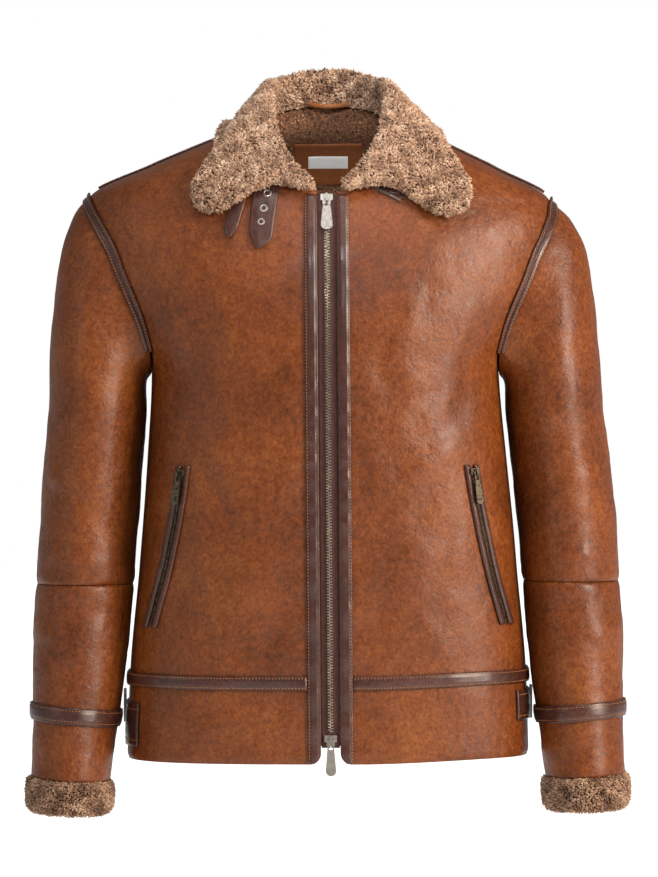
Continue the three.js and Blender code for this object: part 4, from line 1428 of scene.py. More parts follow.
def armhole_heights() -> np.ndarray:
    """Heights of the rows that the armhole's edge passes, close where the edge lies flat.

    Returns:
        The heights, from the underarm up.
    """
    pieces = [
        np.linspace(low, high, parts, endpoint=False)
        for low, high, parts in zip(ARMHOLE_ROWS, ARMHOLE_ROWS[1:], ARMHOLE_PARTS)
    ]
    return np.concatenate([*pieces, [SHOULDER_Z]])


class Arm:
    """One sleeve's surface, from the armhole to the cuff."""

    def __init__(self, side: Side) -> None:
        """Find the armhole's loop and the angle of each of its points.

        Args:
            side: Side of the wearer.
        """
        self.side = side
        self.table = {f.name: Column(SLEEVE, f.name) for f in fields(SleeveLevel)[1:]}
        heights = armhole_heights()
        halves = []
        for facing in Facing:
            zero = np.zeros_like(heights)
            depth = TORSO_FORM.edge_depth(heights, facing)
            ends = TORSO_FORM.smooth_rows(side, facing, heights, zero, depth, 1)[:, 1]
            halves.append(TORSO_FORM.on_skin(ends, facing)[0])
        front, back = halves
        self.loop = np.concatenate([front, back[-2:0:-1]])
        step = np.linalg.norm(np.roll(self.loop, -1, axis=0) - self.loop, axis=1)
        run = np.concatenate([[0.0], np.cumsum(step)])
        self.angles = 360.0 * run[:-1] / run[-1]
        self.heights = heights

    def relief(self, z: np.ndarray, angle: np.ndarray, around: np.ndarray) -> np.ndarray:
        """Height of the sleeve's creases.

        Args:
            z: Heights.
            angle: Degrees round the sleeve.
            around: Length round the sleeve at each height.

        Returns:
            Heights over the smooth ring.
        """
        total = np.zeros(np.broadcast_shapes(z.shape, angle.shape))
        for crease in ARM_CREASES[self.side]:
            away = (np.mod(angle - crease.angle + 180.0, 360.0) - 180.0) / 360.0
            along = away * around / crease.long
            across = (z - crease.z - crease.slant * along * crease.wide) / crease.wide
            total = total + crease.high * np.exp(-4 * along**2 - across**2)
        return total

    def rings(self, z: np.ndarray) -> np.ndarray:
        """Rings of the sleeve: angle 0 is next to the body and 90 at the front.

        Args:
            z: Height of each ring.

        Returns:
            Points, as (rings, angles, 3).
        """
        z = np.asarray(z, float)[:, None]
        angle = self.angles[None, :]
        turn = np.radians(angle)
        inner, outer, mid, deep, tilt = (self.table[k](z) for k in self.table)
        half = (outer - inner) / 2
        fold = self.relief(z, angle, math.pi * (half + deep)) * np.sin(turn / 2) ** 2
        return stack(
            self.side.value * (inner + half - (half + fold) * np.cos(turn)),
            mid - (deep + fold) * np.sin(turn),
            z - tilt * (1 + np.cos(turn)) / 2,
        )

    def head(self, share: np.ndarray, edge: np.ndarray | None = None) -> np.ndarray:
        """The sleeve's head: a cubic curve from each armhole point down to the first ring.

        Args:
            share: Places along the curves, from 0 to 1.
            edge: Armhole points, the sleeve's own loop if not given.

        Returns:
            Points, as (places, angles, 3).
        """
        start = (self.loop if edge is None else edge) + [self.side.value * 2 * SEAM, 0, 0]
        end = self.rings(np.array([CAP_Z]))[0]
        far = np.linalg.norm(end - start, axis=1, keepdims=True)
        out = np.array([self.side.value * 0.9, 0, -0.43]) * np.minimum(CAP_REACH, 0.3 * far)
        one, two = start + out, end + far * [0, 0, 0.42]
        t = np.asarray(share, float).reshape(-1, 1, 1)
        s = 1 - t
        return s**3 * start + 3 * s * s * t * one + 3 * s * t * t * two + t**3 * end

    def grid(self, z: np.ndarray, with_head: bool = False) -> Grid:
        """The sleeve's outer side over some heights, with its creases.

        Args:
            z: Heights.
            with_head: Whether the head comes first.

        Returns:
            The grid, before settling.
        """
        points = self.rings(z)
        if with_head:
            share = np.concatenate([[0, 0.02, 0.05], np.linspace(0.09, 0.95, 22)])
            points = np.concatenate([self.head(share), points])
        grid = Grid.faced(points, -self.side.value, ring=True)
        uneven = 0.8 * ripple(points, 66.0) + 0.35 * ripple(points[..., [2, 0, 1]], 27.0)
        near = smooth(-84.0, -120.0, points[..., 2])
        return grid.lifted(uneven * near)


def crown(count: int, high: float, groove: float = 0.0) -> np.ndarray:
    """Height across a sewn strip: domed, and drawn down along its two rows of stitches.

    Args:
        count: Steps across.
        high: Height of the dome.
        groove: Depth of the stitch lines.

    Returns:
        Height of each column.
    """
    u = np.linspace(-1.0, 1.0, count + 1)
    line = np.exp(-(((np.abs(u) - 0.72) / 0.14) ** 2))
    return high * (1 - u**4) - groove * line


@dataclass
class Thread:
    """Stitches that are gathered into one mesh."""

    name: str
    material: bpy.types.Material
    soup: Soup = field(default_factory=Soup)

    def sew(
        self,
        points: np.ndarray,
        normals: np.ndarray,
        spacing: float = 3.3,
        length: float = 2.7,
        slant: float = 0.35,
    ) -> None:
        """Lay stitches along a line: spindles that dip into the leather at both ends.

        Args:
            points: Points of the line.
            normals: Outward directions.
            spacing: Gap from stitch to stitch.
            length: Length of a stitch.
            slant: Sideways lean of a stitch, as a share of its length.
        """
        step = np.linalg.norm(np.diff(points, axis=0), axis=1)
        run = np.concatenate([[0.0], np.cumsum(step)])
        count = max(1, int(run[-1] / spacing))
        at = (np.arange(count) + 0.5) * run[-1] / count
        middle = np.stack([np.interp(at, run, points[:, k]) for k in range(3)], axis=-1)
        up = unit(np.stack([np.interp(at, run, normals[:, k]) for k in range(3)], axis=-1))
        ahead = np.stack([np.interp(at + 0.4, run, points[:, k]) for k in range(3)], axis=-1)
        behind = np.stack([np.interp(at - 0.4, run, points[:, k]) for k in range(3)], axis=-1)
        along = unit(ahead - behind)
        across = unit(np.cross(up, along))
        along = unit(along + slant * across)
        across = np.cross(up, along)
        half, thick = length / 2, 0.52
        corners = [
            middle - along * half - up * 0.25,
            middle + along * half - up * 0.25,
            middle + across * thick,
            middle - across * thick,
            middle + up * thick * 1.1,
            middle - up * thick,
        ]
        places = np.stack(corners, axis=1)
        sides = [(0, 2, 4), (2, 1, 4), (1, 3, 4), (3, 0, 4), (2, 0, 5), (1, 2, 5), (3, 1, 5), (0, 3, 5)]
        faces = np.array(sides)[None] + 6 * np.arange(count)[:, None, None]
        self.soup.add(places, faces[..., ::-1])

    def finish(self) -> bpy.types.Object:
        """Write the stitches as one mesh.

        Returns:
            The new object.
        """
        places = np.concatenate(self.soup.places)
        faces = np.concatenate(self.soup.faces)
        piece = build_mesh(self.name, places, [faces], [self.material])
        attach(piece, "coat")
        return piece


@dataclass
class Wool:
    """Tufts of wool that grow on a grid: short curved horns that lean together in curls."""

    seed: int
    material: bpy.types.Material

    def grow(
        self,
        name: str,
        beds: Sequence[tuple[Grid, int, Callable[[np.ndarray], np.ndarray] | None]],
        length: float,
        width: float,
        lean: float = 0.75,
        tone: float = 0.5,
    ) -> bpy.types.Object:
        """Grow one mesh of tufts.

        Args:
            name: Name of the piece.
            beds: Grids, the number of tufts on each, and which places may carry them.
            length: Height of a tuft.
            width: Width at its foot.
            lean: How far the tip lies over, as a share of the length.
            tone: Middle tone of the wool.

        Returns:
            The new object.
        """
        rng = np.random.default_rng(self.seed)
        feet, ups = [], []
        for grid, count, keep in beds:
            area = grid.areas()
            run = np.concatenate([[0.0], np.cumsum(area.ravel())])
            pick = (np.arange(count) + rng.random(count)) * run[-1] / count
            cell = np.clip(np.searchsorted(run, pick, side="right") - 1, 0, area.size - 1)
            row = cell // area.shape[1] + rng.random(count)
            column = cell % area.shape[1] + rng.random(count)
            foot, up = grid.at(row, column)
            chosen = np.ones(count, bool) if keep is None else keep(foot)
            feet.append(foot[chosen])
            ups.append(up[chosen])
        foot, up = np.concatenate(feet), np.concatenate(ups)
        count = len(foot)
        swirl = math.pi * (1.6 * ripple(foot, 8.5) + 0.9 * ripple(foot[:, [1, 2, 0]], 4.7))
        swirl += rng.normal(0.0, 0.5, count)
        side = unit(np.cross(up, np.array([0.31, 0.17, 0.94])))
        down = np.cross(side, up)
        tilt = np.cos(swirl)[:, None] * side + np.sin(swirl)[:, None] * down
        tilt = unit(tilt - 0.35 * down)
        flank = np.cross(up, tilt)
        tall = length * (1 + 0.16 * rng.normal(0.0, 1.0, count) + 0.2 * ripple(foot, 6.1))
        tall = np.clip(tall, 0.5 * length, 1.35 * length)[:, None]
        wide = width / 2 * (1 + 0.18 * rng.normal(0.0, 1.0, (count, 1)))
        wide = np.clip(wide, 0.25 * width, 0.8 * width)
        turns = np.radians([90.0, 210.0, 330.0])
        ring = np.cos(turns)[:, None, None] * flank + np.sin(turns)[:, None, None] * tilt
        knee = foot + up * tall * 0.62 + tilt * tall * 0.14 * lean
        tip = foot + up * tall * 0.98 + tilt * tall * lean * 0.72
        base = foot - up * 0.7
        places = np.concatenate([base + ring * wide, knee + ring * wide * 0.82, tip[None]])
        places = places.transpose(1, 0, 2)
        start = 7 * np.arange(count)[:, None, None]
        around = [(0, 1, 4, 3), (1, 2, 5, 4), (2, 0, 3, 5)]
        caps = [(3, 4, 6), (4, 5, 6), (5, 3, 6), (2, 1, 0)]
        quads = (np.array(around)[None] + start).reshape(-1, 4)
        tris = (np.array(caps)[None] + start).reshape(-1, 3)
        first = places[0]
        turn = np.dot(np.cross(first[1] - first[0], first[4] - first[1]), first[0] - base[0])
        if turn < 0:
            quads, tris = quads[:, ::-1], tris[:, ::-1]
        piece = build_mesh(name, places.reshape(-1, 3), [quads, tris], [self.material])
        shade = tone + 0.3 * ripple(foot, 24.0) + 0.24 * ripple(foot[:, [2, 0, 1]], 8.0)
        shade = np.clip(shade + 0.12 * rng.normal(0.0, 1.0, count), 0.0, 1.0)
        # Height along each tuft, 0 at its foot; the wool material paints shade towards the foot from
        # it.
        height = np.array([0.0, 0.0, 0.0, 0.62, 0.62, 0.62, 1.0])
        value = np.zeros((count, 7, 3), np.float32)
        value[..., 0] = height
        value[..., 1] = shade[:, None]
        layer = piece.data.attributes.new("tuft", "FLOAT_VECTOR", "POINT")
        layer.data.foreach_set("vector", value.ravel())
        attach(piece, "coat")
        return piece


@dataclass(frozen=True)
class Palette:
    """Every material of the coat."""

    skin: bpy.types.Material
    strip: bpy.types.Material
    calf: bpy.types.Material
    loop: bpy.types.Material
    wool: bpy.types.Material
    neck_wool: bpy.types.Material
    lining: bpy.types.Material
    silver: bpy.types.Material
    teeth: bpy.types.Material
    brass: bpy.types.Material
    tape: bpy.types.Material
    label: bpy.types.Material
    thread: bpy.types.Material
    dark_thread: bpy.types.Material

    @classmethod
    def make(cls) -> Palette:
        """Build the materials.

        Returns:
            The palette.
        """
        finishes = (
            WAXED_SKIN,
            GOATSKIN,
            CALF,
            LOOP_CALF,
            WOOL,
            NECK_WOOL,
            LINING,
            SILVER,
            TEETH,
            BRASS,
            TAPE,
            LABEL,
            THREAD,
            DARK_THREAD,
        )
        return cls(*(finish.build() for finish in finishes))


class Hold(Enum):
    HUNG = "hung"
    STRETCHED = "stretched"
    FOLDED = "folded"


def declare(
    grid: Grid,
) -> None:
    """Take a sheet's outer points and close a ring's rows; nothing is measured, stated or kept.

    Args:
        grid: Its outer side.
    """
    points = grid.points
    if grid.ring:
        points = np.concatenate([points, points[:, :1]], axis=1)


def dress(
    piece: bpy.types.Object, slot: str, *nodes: str, body: str = "coat"
) -> bpy.types.Object:
    """Tie a piece to its body and hide the solids that it stands for.

    Args:
        piece: The piece.
        slot: The record's material slot, not used.
        nodes: Solids that it replaces.
        body: Body that it rides on.

    Returns:
        The piece.
    """
    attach(piece, body)
    if nodes:
        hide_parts(*nodes)
    return piece


@dataclass
class Shell:
    """The body's panels: two fronts, a back and the hem band."""

    palette: Palette

    def seam_dip(self, length: int) -> np.ndarray:
        """How the skin turns down into the seam at the end of a row.

        Args:
            length: Points in the row.

        Returns:
            Heights, below 0 near the end.
        """
        away = (length - 1 - np.arange(length)) * CELL
        return -1.3 * np.exp(-((away / 3.6) ** 2))

    def row_dip(self, z: np.ndarray, seams: Sequence[float]) -> np.ndarray:
        """How the skin turns down into level seams.

        Args:
            z: Heights.
            seams: Heights of the seams.

        Returns:
            Depths at each height.
        """
        return sum(-1.2 * np.exp(-(((z - seam) / 3.8) ** 2)) for seam in seams)

    def front(self, side: Side) -> bpy.types.Object:
        """A front, from the waist to the shoulder.

        Args:
            side: Side of the wearer.

        Returns:
            The panel.
        """
        heights = np.concatenate(
            [
                spaced(WAIST_Z + SEAM, -264.0),
                armhole_heights(),
                np.array([-78.8, -77.9]),
                spaced(-77.0, -60.0, 1.6),
                spaced(-58.0, -8.0, 2.4),
            ]
        )
        grid = self.front_grid(side, heights)
        nodes = "front_" + side.word
        materials = [self.palette.skin, self.palette.lining]
        piece = wall("skin_" + nodes, grid.settled(), PELT, materials, lining=1)
        dress(piece, "waxed_skin", nodes)
        declare(grid)
        return piece

    def front_grid(self, side: Side, heights: np.ndarray) -> Grid:
        """Outer side of a front or of its hem band.

        Args:
            side: Side of the wearer.
            heights: Heights of the rows.

        Returns:
            The grid, before settling.
        """
        start = TORSO_FORM.front_start(side, heights)
        depth = TORSO_FORM.edge_depth(heights, Facing.FRONT)
        flat = TORSO_FORM.smooth_rows(side, Facing.FRONT, heights, start, depth, 66)
        dip = self.seam_dip(67)[None] + self.row_dip(heights, [WAIST_Z])[:, None]
        return Grid(*TORSO_FORM.on_skin(flat, Facing.FRONT, dip))

    def back_grid(self, heights: np.ndarray, count: int = 58, dip: bool = True) -> Grid:
        """Outer side of the back or of its hem band, from the right edge to the left one.

        Args:
            heights: Heights of the rows.
            count: Steps on each side.
            dip: Whether the edges turn down into their seams.

        Returns:
            The grid, before settling.
        """
        power, half = TORSO_FORM.power(heights), TORSO_FORM.half(heights)
        depth = TORSO_FORM.depths[Facing.BACK](heights)
        hole = TORSO_FORM.neck_back(np.maximum(heights, NECK_SIDE_Z))
        cut = depth * np.maximum(1 - (hole / half) ** power, 0.0) ** (1 / power)
        edge = TORSO_FORM.edge_depth(heights, Facing.BACK)
        to_y = np.where(heights <= NECK_SIDE_Z - 4.0, edge, cut)
        zero = np.zeros_like(heights)
        left, right = (
            TORSO_FORM.smooth_rows(side, Facing.BACK, heights, zero, to_y, count)
            for side in (Side.LEFT, Side.RIGHT)
        )
        flat = np.concatenate([right[:, ::-1], left[:, 1:]], axis=1)
        lift = np.zeros(flat.shape[:2])
        if dip:
            seam = self.seam_dip(count + 1)
            lift += np.concatenate([seam[::-1], seam[1:]])[None]
            lift += self.row_dip(heights, [WAIST_Z])[:, None]
        return Grid(*TORSO_FORM.on_skin(flat, Facing.BACK, lift))

    def back(self) -> tuple[bpy.types.Object, Grid]:
        """The back, from the waist to the neck.

        Returns:
            The panel and its grid.
        """
        heights = np.concatenate(
            [
                spaced(WAIST_Z + SEAM, -264.0, 3.6),
                armhole_heights(),
                spaced(-77.0, -8.0, 3.2),
                np.array([-4.0, 0.0, 4.0, 8.0, 11.0, 14.0, 16.5, 19.0]),
            ]
        )
        grid = self.back_grid(heights)
        materials = [self.palette.skin, self.palette.lining]
        piece = wall("skin_back", grid.settled(), PELT, materials, lining=1)
        dress(piece, "waxed_skin", "back")
        declare(grid)
        return piece, grid

    def hem(self) -> None:
        """The hem band's three pieces, with their lower edges rolled under."""
        low = np.concatenate([HEM_Z + np.array([0.1, 0.5, 1.2, 2.4, 4.2, 6.5, 9, 12])])
        heights = np.concatenate([low, spaced(-643.0, WAIST_Z - SEAM)])
        roll = -1.6 * np.exp(-(((heights - HEM_Z) / 3.0) ** 2))
        materials = [self.palette.skin, self.palette.lining]
        for side in Side:
            grid = self.front_grid(side, heights).lifted(roll[:, None] * np.ones(67))
            node = "hem_front_" + side.word
            piece = dress(
                wall("skin_" + node, grid.settled(), PELT, materials, lining=1), "waxed_skin", node
            )
            declare(grid)
        grid = self.back_grid(heights)
        grid = grid.lifted(roll[:, None] * np.ones(grid.points.shape[1]))
        piece = wall("skin_hem_back", grid.settled(), PELT, materials, lining=1)
        dress(piece, "waxed_skin", "hem_back")
        declare(grid)


@dataclass
class Trimmer:
    """Goatskin strips and what is sewn along them."""

    palette: Palette
    bright: Thread
    dark: Thread

    def strip(
        self,
        name: str,
        grid: Grid,
        nodes: Sequence[str],
        carrier: str,
        lift: float = LIFT,
        high: float = 0.9,
        groove: float = 0.55,
        sewn: Sequence[tuple[float, bool]] = ((0.14, True), (0.86, True)),
        material: bpy.types.Material | None = None,
        slot: str = "trim_leather",
        body: str = "coat",
    ) -> bpy.types.Object:
        """A domed strip over a grid, with rows of stitches.

        Args:
            name: Name of the piece.
            grid: Surface under it, one column for each place across.
            nodes: Solids that it replaces.
            carrier: Name of what it is sewn on, not used.
            lift: Height of its underside.
            high: Height of its dome.
            groove: Depth of its stitch lines.
            sewn: Places of the stitch rows across, and whether their thread is the bright one.
            material: Its material, goatskin if not given.
            slot: The record's slot.
            body: Body that it rides on.

        Returns:
            The new object.
        """
        across = grid.points.shape[1] - 1
        profile = crown(across, high, groove)
        rows = len(grid.points)
        shape = np.ones((rows, 1)) * profile[None]
        shape += 0.22 * groove * ripple(grid.points, 9.0)
        outer = grid.lifted(shape + lift + STRIP)
        thick = shape + STRIP
        surface = material or self.palette.strip
        piece = wall(name, outer.settled(), thick, [surface])
        dress(piece, slot, *nodes, body=body)
        declare(outer)
        settled = outer.settled()
        for place, bright in sewn:
            column = place * across
            low = int(column)
            part = column - low
            line = settled.points[:, low] * (1 - part) + settled.points[:, low + 1] * part
            up = settled.normals[:, low]
            thread = self.bright if bright else self.dark
            thread.sew(line + up * 0.12, up)
        return piece

    def skin_grid(
        self,
        heights: np.ndarray,
        start: Callable[[np.ndarray], np.ndarray],
        stop: Callable[[np.ndarray], np.ndarray],
        count: int,
        facing: Facing = Facing.FRONT,
        lift: float = 0.0,
    ) -> Grid:
        """Skin between two sideways edges that change with height.

        Args:
            heights: Heights of the rows.
            start: First edge at each height.
            stop: Second edge at each height.
            count: Steps across.
            facing: Half of the body.
            lift: Height over the skin.

        Returns:
            The grid, before settling.
        """
        share = np.linspace(0.0, 1.0, count + 1)
        one, two = start(heights)[:, None], stop(heights)[:, None]
        x = one + (two - one) * share[None]
        return Grid(*TORSO_FORM.over(x, heights[:, None], facing, lift))

    def plackets(self) -> None:
        """The strips beside the zip, and its two tapes."""
        low = HEM_Z + np.array([1.0, 1.8, 3, 5, 7.5, 10, 12.5])
        heights = np.concatenate([low, spaced(-644.0, -82.0, 3.0)])
        for side in Side:
            sign = side.value

            def edge(z: np.ndarray, side: Side = side) -> np.ndarray:
                """Inner edge of the strip.

                Args:
                    z: Heights.
                    side: Side of the wearer.

                Returns:
                    Sideways places.
                """
                return side.value * TORSO_FORM.front_start(side, z)

            def outer(z: np.ndarray, sign: int = sign) -> np.ndarray:
                """Outer edge of the strip.

                Args:
                    z: Heights.
                    sign: Sign of the side.

                Returns:
                    Sideways places.
                """
                return zip_middle(z) + sign * (ZIP_HALF + PLACKET)

            grid = self.skin_grid(heights, edge, outer, 12)
            sewn = ((0.16, False), (0.9, True))
            node = "placket_" + side.word
            self.strip(
                "strip_" + node, grid, [node], "front_" + side.word, high=1.3, groove=0.8, sewn=sewn
            )
            tape_heights = spaced(-641.0, -81.0, 4.0)

            def middle(z: np.ndarray, sign: int = sign) -> np.ndarray:
                """Edge of the tape at the zip's middle.

                Args:
                    z: Heights.
                    sign: Sign of the side.

                Returns:
                    Sideways places.
                """
                return zip_middle(z) + sign * 0.4

            def far(z: np.ndarray, sign: int = sign) -> np.ndarray:
                """Edge of the tape under the strip.

                Args:
                    z: Heights.
                    sign: Sign of the side.

                Returns:
                    Sideways places.
                """
                return zip_middle(z) + sign * (ZIP_HALF - 0.6)

            tape = self.skin_grid(tape_heights, middle, far, 5, lift=-1.6)
            piece = wall("tape_" + side.word, tape.settled(), 1.2, [self.palette.tape])
            dress(piece, "zip_tape", "zip_tape_" + side.word)
            declare(tape)

    def waist(self, shell: Shell) -> None:
        """The strip over the waist seam, in three pieces.

        Args:
            shell: The body's panels.
        """
        heights = np.linspace(WAIST_Z - WAIST_STRIP / 2, WAIST_Z + WAIST_STRIP / 2, 13)
        for side in Side:
            start = TORSO_FORM.front_start(side, heights) + PLACKET + 0.5
            depth = np.full_like(heights, SEAM)
            flat = TORSO_FORM.smooth_rows(side, Facing.FRONT, heights, start, depth, 78)
            points, normals = TORSO_FORM.on_skin(flat, Facing.FRONT)
            grid = Grid(points.transpose(1, 0, 2), normals.transpose(1, 0, 2))
            node = "waist_trim_front_" + side.word
            self.strip("strip_" + node, grid, [node], "front_" + side.word)
        grid = shell.back_grid(heights, count=80, dip=False)
        turned = Grid(grid.points.transpose(1, 0, 2), grid.normals.transpose(1, 0, 2))
        self.strip("strip_waist_back", turned, ["waist_trim_back"], "back")

    def armhole(self, arm: Arm) -> None:
        """The strip over an armhole's seam, open under the arm.

        Args:
            arm: The sleeve.
        """
        sign = arm.side.value
        count = len(arm.heights)
        halves = []
        for facing in Facing:
            heights = arm.heights
            zero = np.zeros_like(heights)
            depth = TORSO_FORM.edge_depth(heights, facing)
            ends = TORSO_FORM.smooth_rows(arm.side, facing, heights, zero, depth, 1)[:, 1]
            halves.append(TORSO_FORM.on_skin(ends, facing))
        points = np.concatenate([halves[0][0], halves[1][0][-2:0:-1]])
        normals = np.concatenate([halves[0][1], halves[1][1][-2:0:-1]])
        tangent = np.roll(points, -1, axis=0) - np.roll(points, 1, axis=0)
        inward = unit(np.cross(normals, tangent)) * sign
        end = arm.rings(np.array([CAP_Z]))[0]
        far = np.linalg.norm(end - points, axis=1)
        share = 5.5 / (3 * np.minimum(CAP_REACH, 0.3 * far))
        body = [points + inward * away for away in (7.2, 6.1, 5.0, 3.8, 2.5, 1.2)]
        start = points + [sign * 2 * SEAM, 0, 0]
        out = np.array([sign * 0.9, 0, -0.43]) * np.minimum(CAP_REACH, 0.3 * far)[:, None]
        one, two = start + out, end + far[:, None] * [0, 0, 0.42]
        sleeve = []
        for part in (0.05, 0.25, 0.48, 0.7, 0.88, 1.0):
            t = (share * part)[:, None]
            s = 1 - t
            sleeve.append(s**3 * start + 3 * s * s * t * one + 3 * s * t * t * two + t**3 * end)
        rows = np.stack([*body, *sleeve], axis=1)
        keep = slice(19, len(points) - 18)
        rows = rows[keep]
        smoothed = rows.copy()
        smoothed[1:-1] = (rows[:-2] + 2 * rows[1:-1] + rows[2:]) / 4
        grid = Grid.faced(smoothed, sign)
        LOG.debug("armhole strip of %d rows from %d", len(smoothed), count)
        name = "armhole_trim_" + arm.side.word
        self.strip("strip_" + name, grid, [name], "front_" + arm.side.word, lift=0.7, high=0.8)

    def shoulder(self, side: Side) -> None:
        """The narrow strip over a shoulder seam.

        Args:
            side: Side of the wearer.
        """
        heights = spaced(-14.0, -70.0, 3.0)
        y = np.linspace(-4.5, 4.5, 7)
        z = heights[:, None]
        depth = np.where(
            y > 0, TORSO_FORM.depths[Facing.BACK](z), TORSO_FORM.depths[Facing.FRONT](z)
        )
        power = TORSO_FORM.power(z)
        share = 1 - (np.abs(y)[None] / depth) ** power
        x = side.value * TORSO_FORM.half(z) * share ** (1 / power)
        points = stack(x, y[None], z)
        normals = np.where(
            (y > 0)[None, :, None],
            TORSO_FORM.normal(points, Facing.BACK),
            TORSO_FORM.normal(points, Facing.FRONT),
        )
        name = "shoulder_trim_" + side.word
        self.strip("strip_" + name, Grid(points, normals), [name], "back", lift=0.5, high=0.6)

    def sleeve_band(self, arm: Arm) -> None:
        """The strip round a sleeve above its cuff.

        Args:
            arm: The sleeve.
        """
        heights = np.linspace(SLEEVE_STRIP_TOP, SLEEVE_STRIP_TOP - SLEEVE_STRIP, 13)
        grid = arm.grid(heights)
        name = "sleeve_trim_" + arm.side.word
        profile = crown(12, 1.0, 0.55)[:, None] * np.ones((1, grid.points.shape[1]))
        outer = grid.lifted(profile + LIFT + STRIP)
        settled = outer.settled()
        piece = wall("strip_" + name, settled, profile + STRIP, [self.palette.strip])
        dress(piece, "trim_leather", name)
        declare(outer)
        for row in (2, 10):
            line = np.concatenate([settled.points[row], settled.points[row, :1]])
            up = np.concatenate([settled.normals[row], settled.normals[row, :1]])
            self.bright.sew(line + up * 0.12, up)


@dataclass
class Sleeves:
    """Sleeves with their cuffs of turned-up shearling."""

    palette: Palette
    arms: dict[Side, Arm]

    def build(self, side: Side) -> None:
        """Upper and lower sleeve.

        Args:
            side: Side of the wearer.
        """
        arm = self.arms[side]
        word = side.word
        materials = [self.palette.skin, self.palette.lining]
        upper = arm.grid(spaced(CAP_Z, ELBOW_Z + SEAM, 3.4), with_head=True)
        lower = arm.grid(spaced(ELBOW_Z - SEAM, WRIST_Z + SEAM, 3.4))
        for node, grid, rests in (
            ("sleeve_upper_", upper, "back"),
            ("sleeve_lower_", lower, "sleeve_upper_" + word),
        ):
            z = grid.points[..., 2]
            seam = -1.3 * np.exp(-(((z - ELBOW_Z) / 3.6) ** 2))
            if node == "sleeve_upper_":
                seam[:3] -= np.array([[1.2], [0.7], [0.3]])
            shaped = grid.lifted(seam)
            piece = wall("skin_" + node + word, shaped.settled(), PELT, materials, lining=1)
            dress(piece, "waxed_skin", node + word)
            declare(shaped)

    def cuff(self, side: Side, wool: Wool) -> None:
        """Cuff: a skin with wool outside and round its rim.

        Args:
            side: Side of the wearer.
            wool: The wool that grows on it.
        """
        arm = self.arms[side]
        heights = spaced(WRIST_Z, CUFF_Z, 1.9)
        table = np.array([[WRIST_Z, 1], [-679, 5], [-690, 6], [CUFF_Z + 4, 5], [CUFF_Z, 2]])
        puff = np.interp(-heights, -table[:, 0], table[:, 1])
        bed = Grid.faced(arm.rings(heights), -side.value, ring=True)
        lumps = 0.5 * ripple(bed.points, 11.0)
        skin = bed.lifted(puff[:, None] - 3.8 + lumps)
        name = "cuff_" + side.word
        materials = [self.palette.neck_wool, self.palette.lining]
        settled = skin.settled()
        piece = wall(name + "_base", settled, PILE - 3.8, materials, lining=1)
        dress(piece, "shearling", name)
        declare(skin)
        foot, up = settled.points[-1], settled.normals[-1]
        turn = np.linspace(0.1, 0.5, 4)[:, None, None] * math.pi
        down = np.array([0, 0, -1.0])
        lip = Grid(
            foot - up * np.linspace(0.0, PILE - 4.6, 4)[:, None, None],
            unit(np.cos(turn) * up + np.sin(turn) * down),
            ring=True,
        )
        wool.grow(name + "_wool", [(settled, 6200, None), (lip, 1500, None)], 4.4, 2.5, tone=0.4)


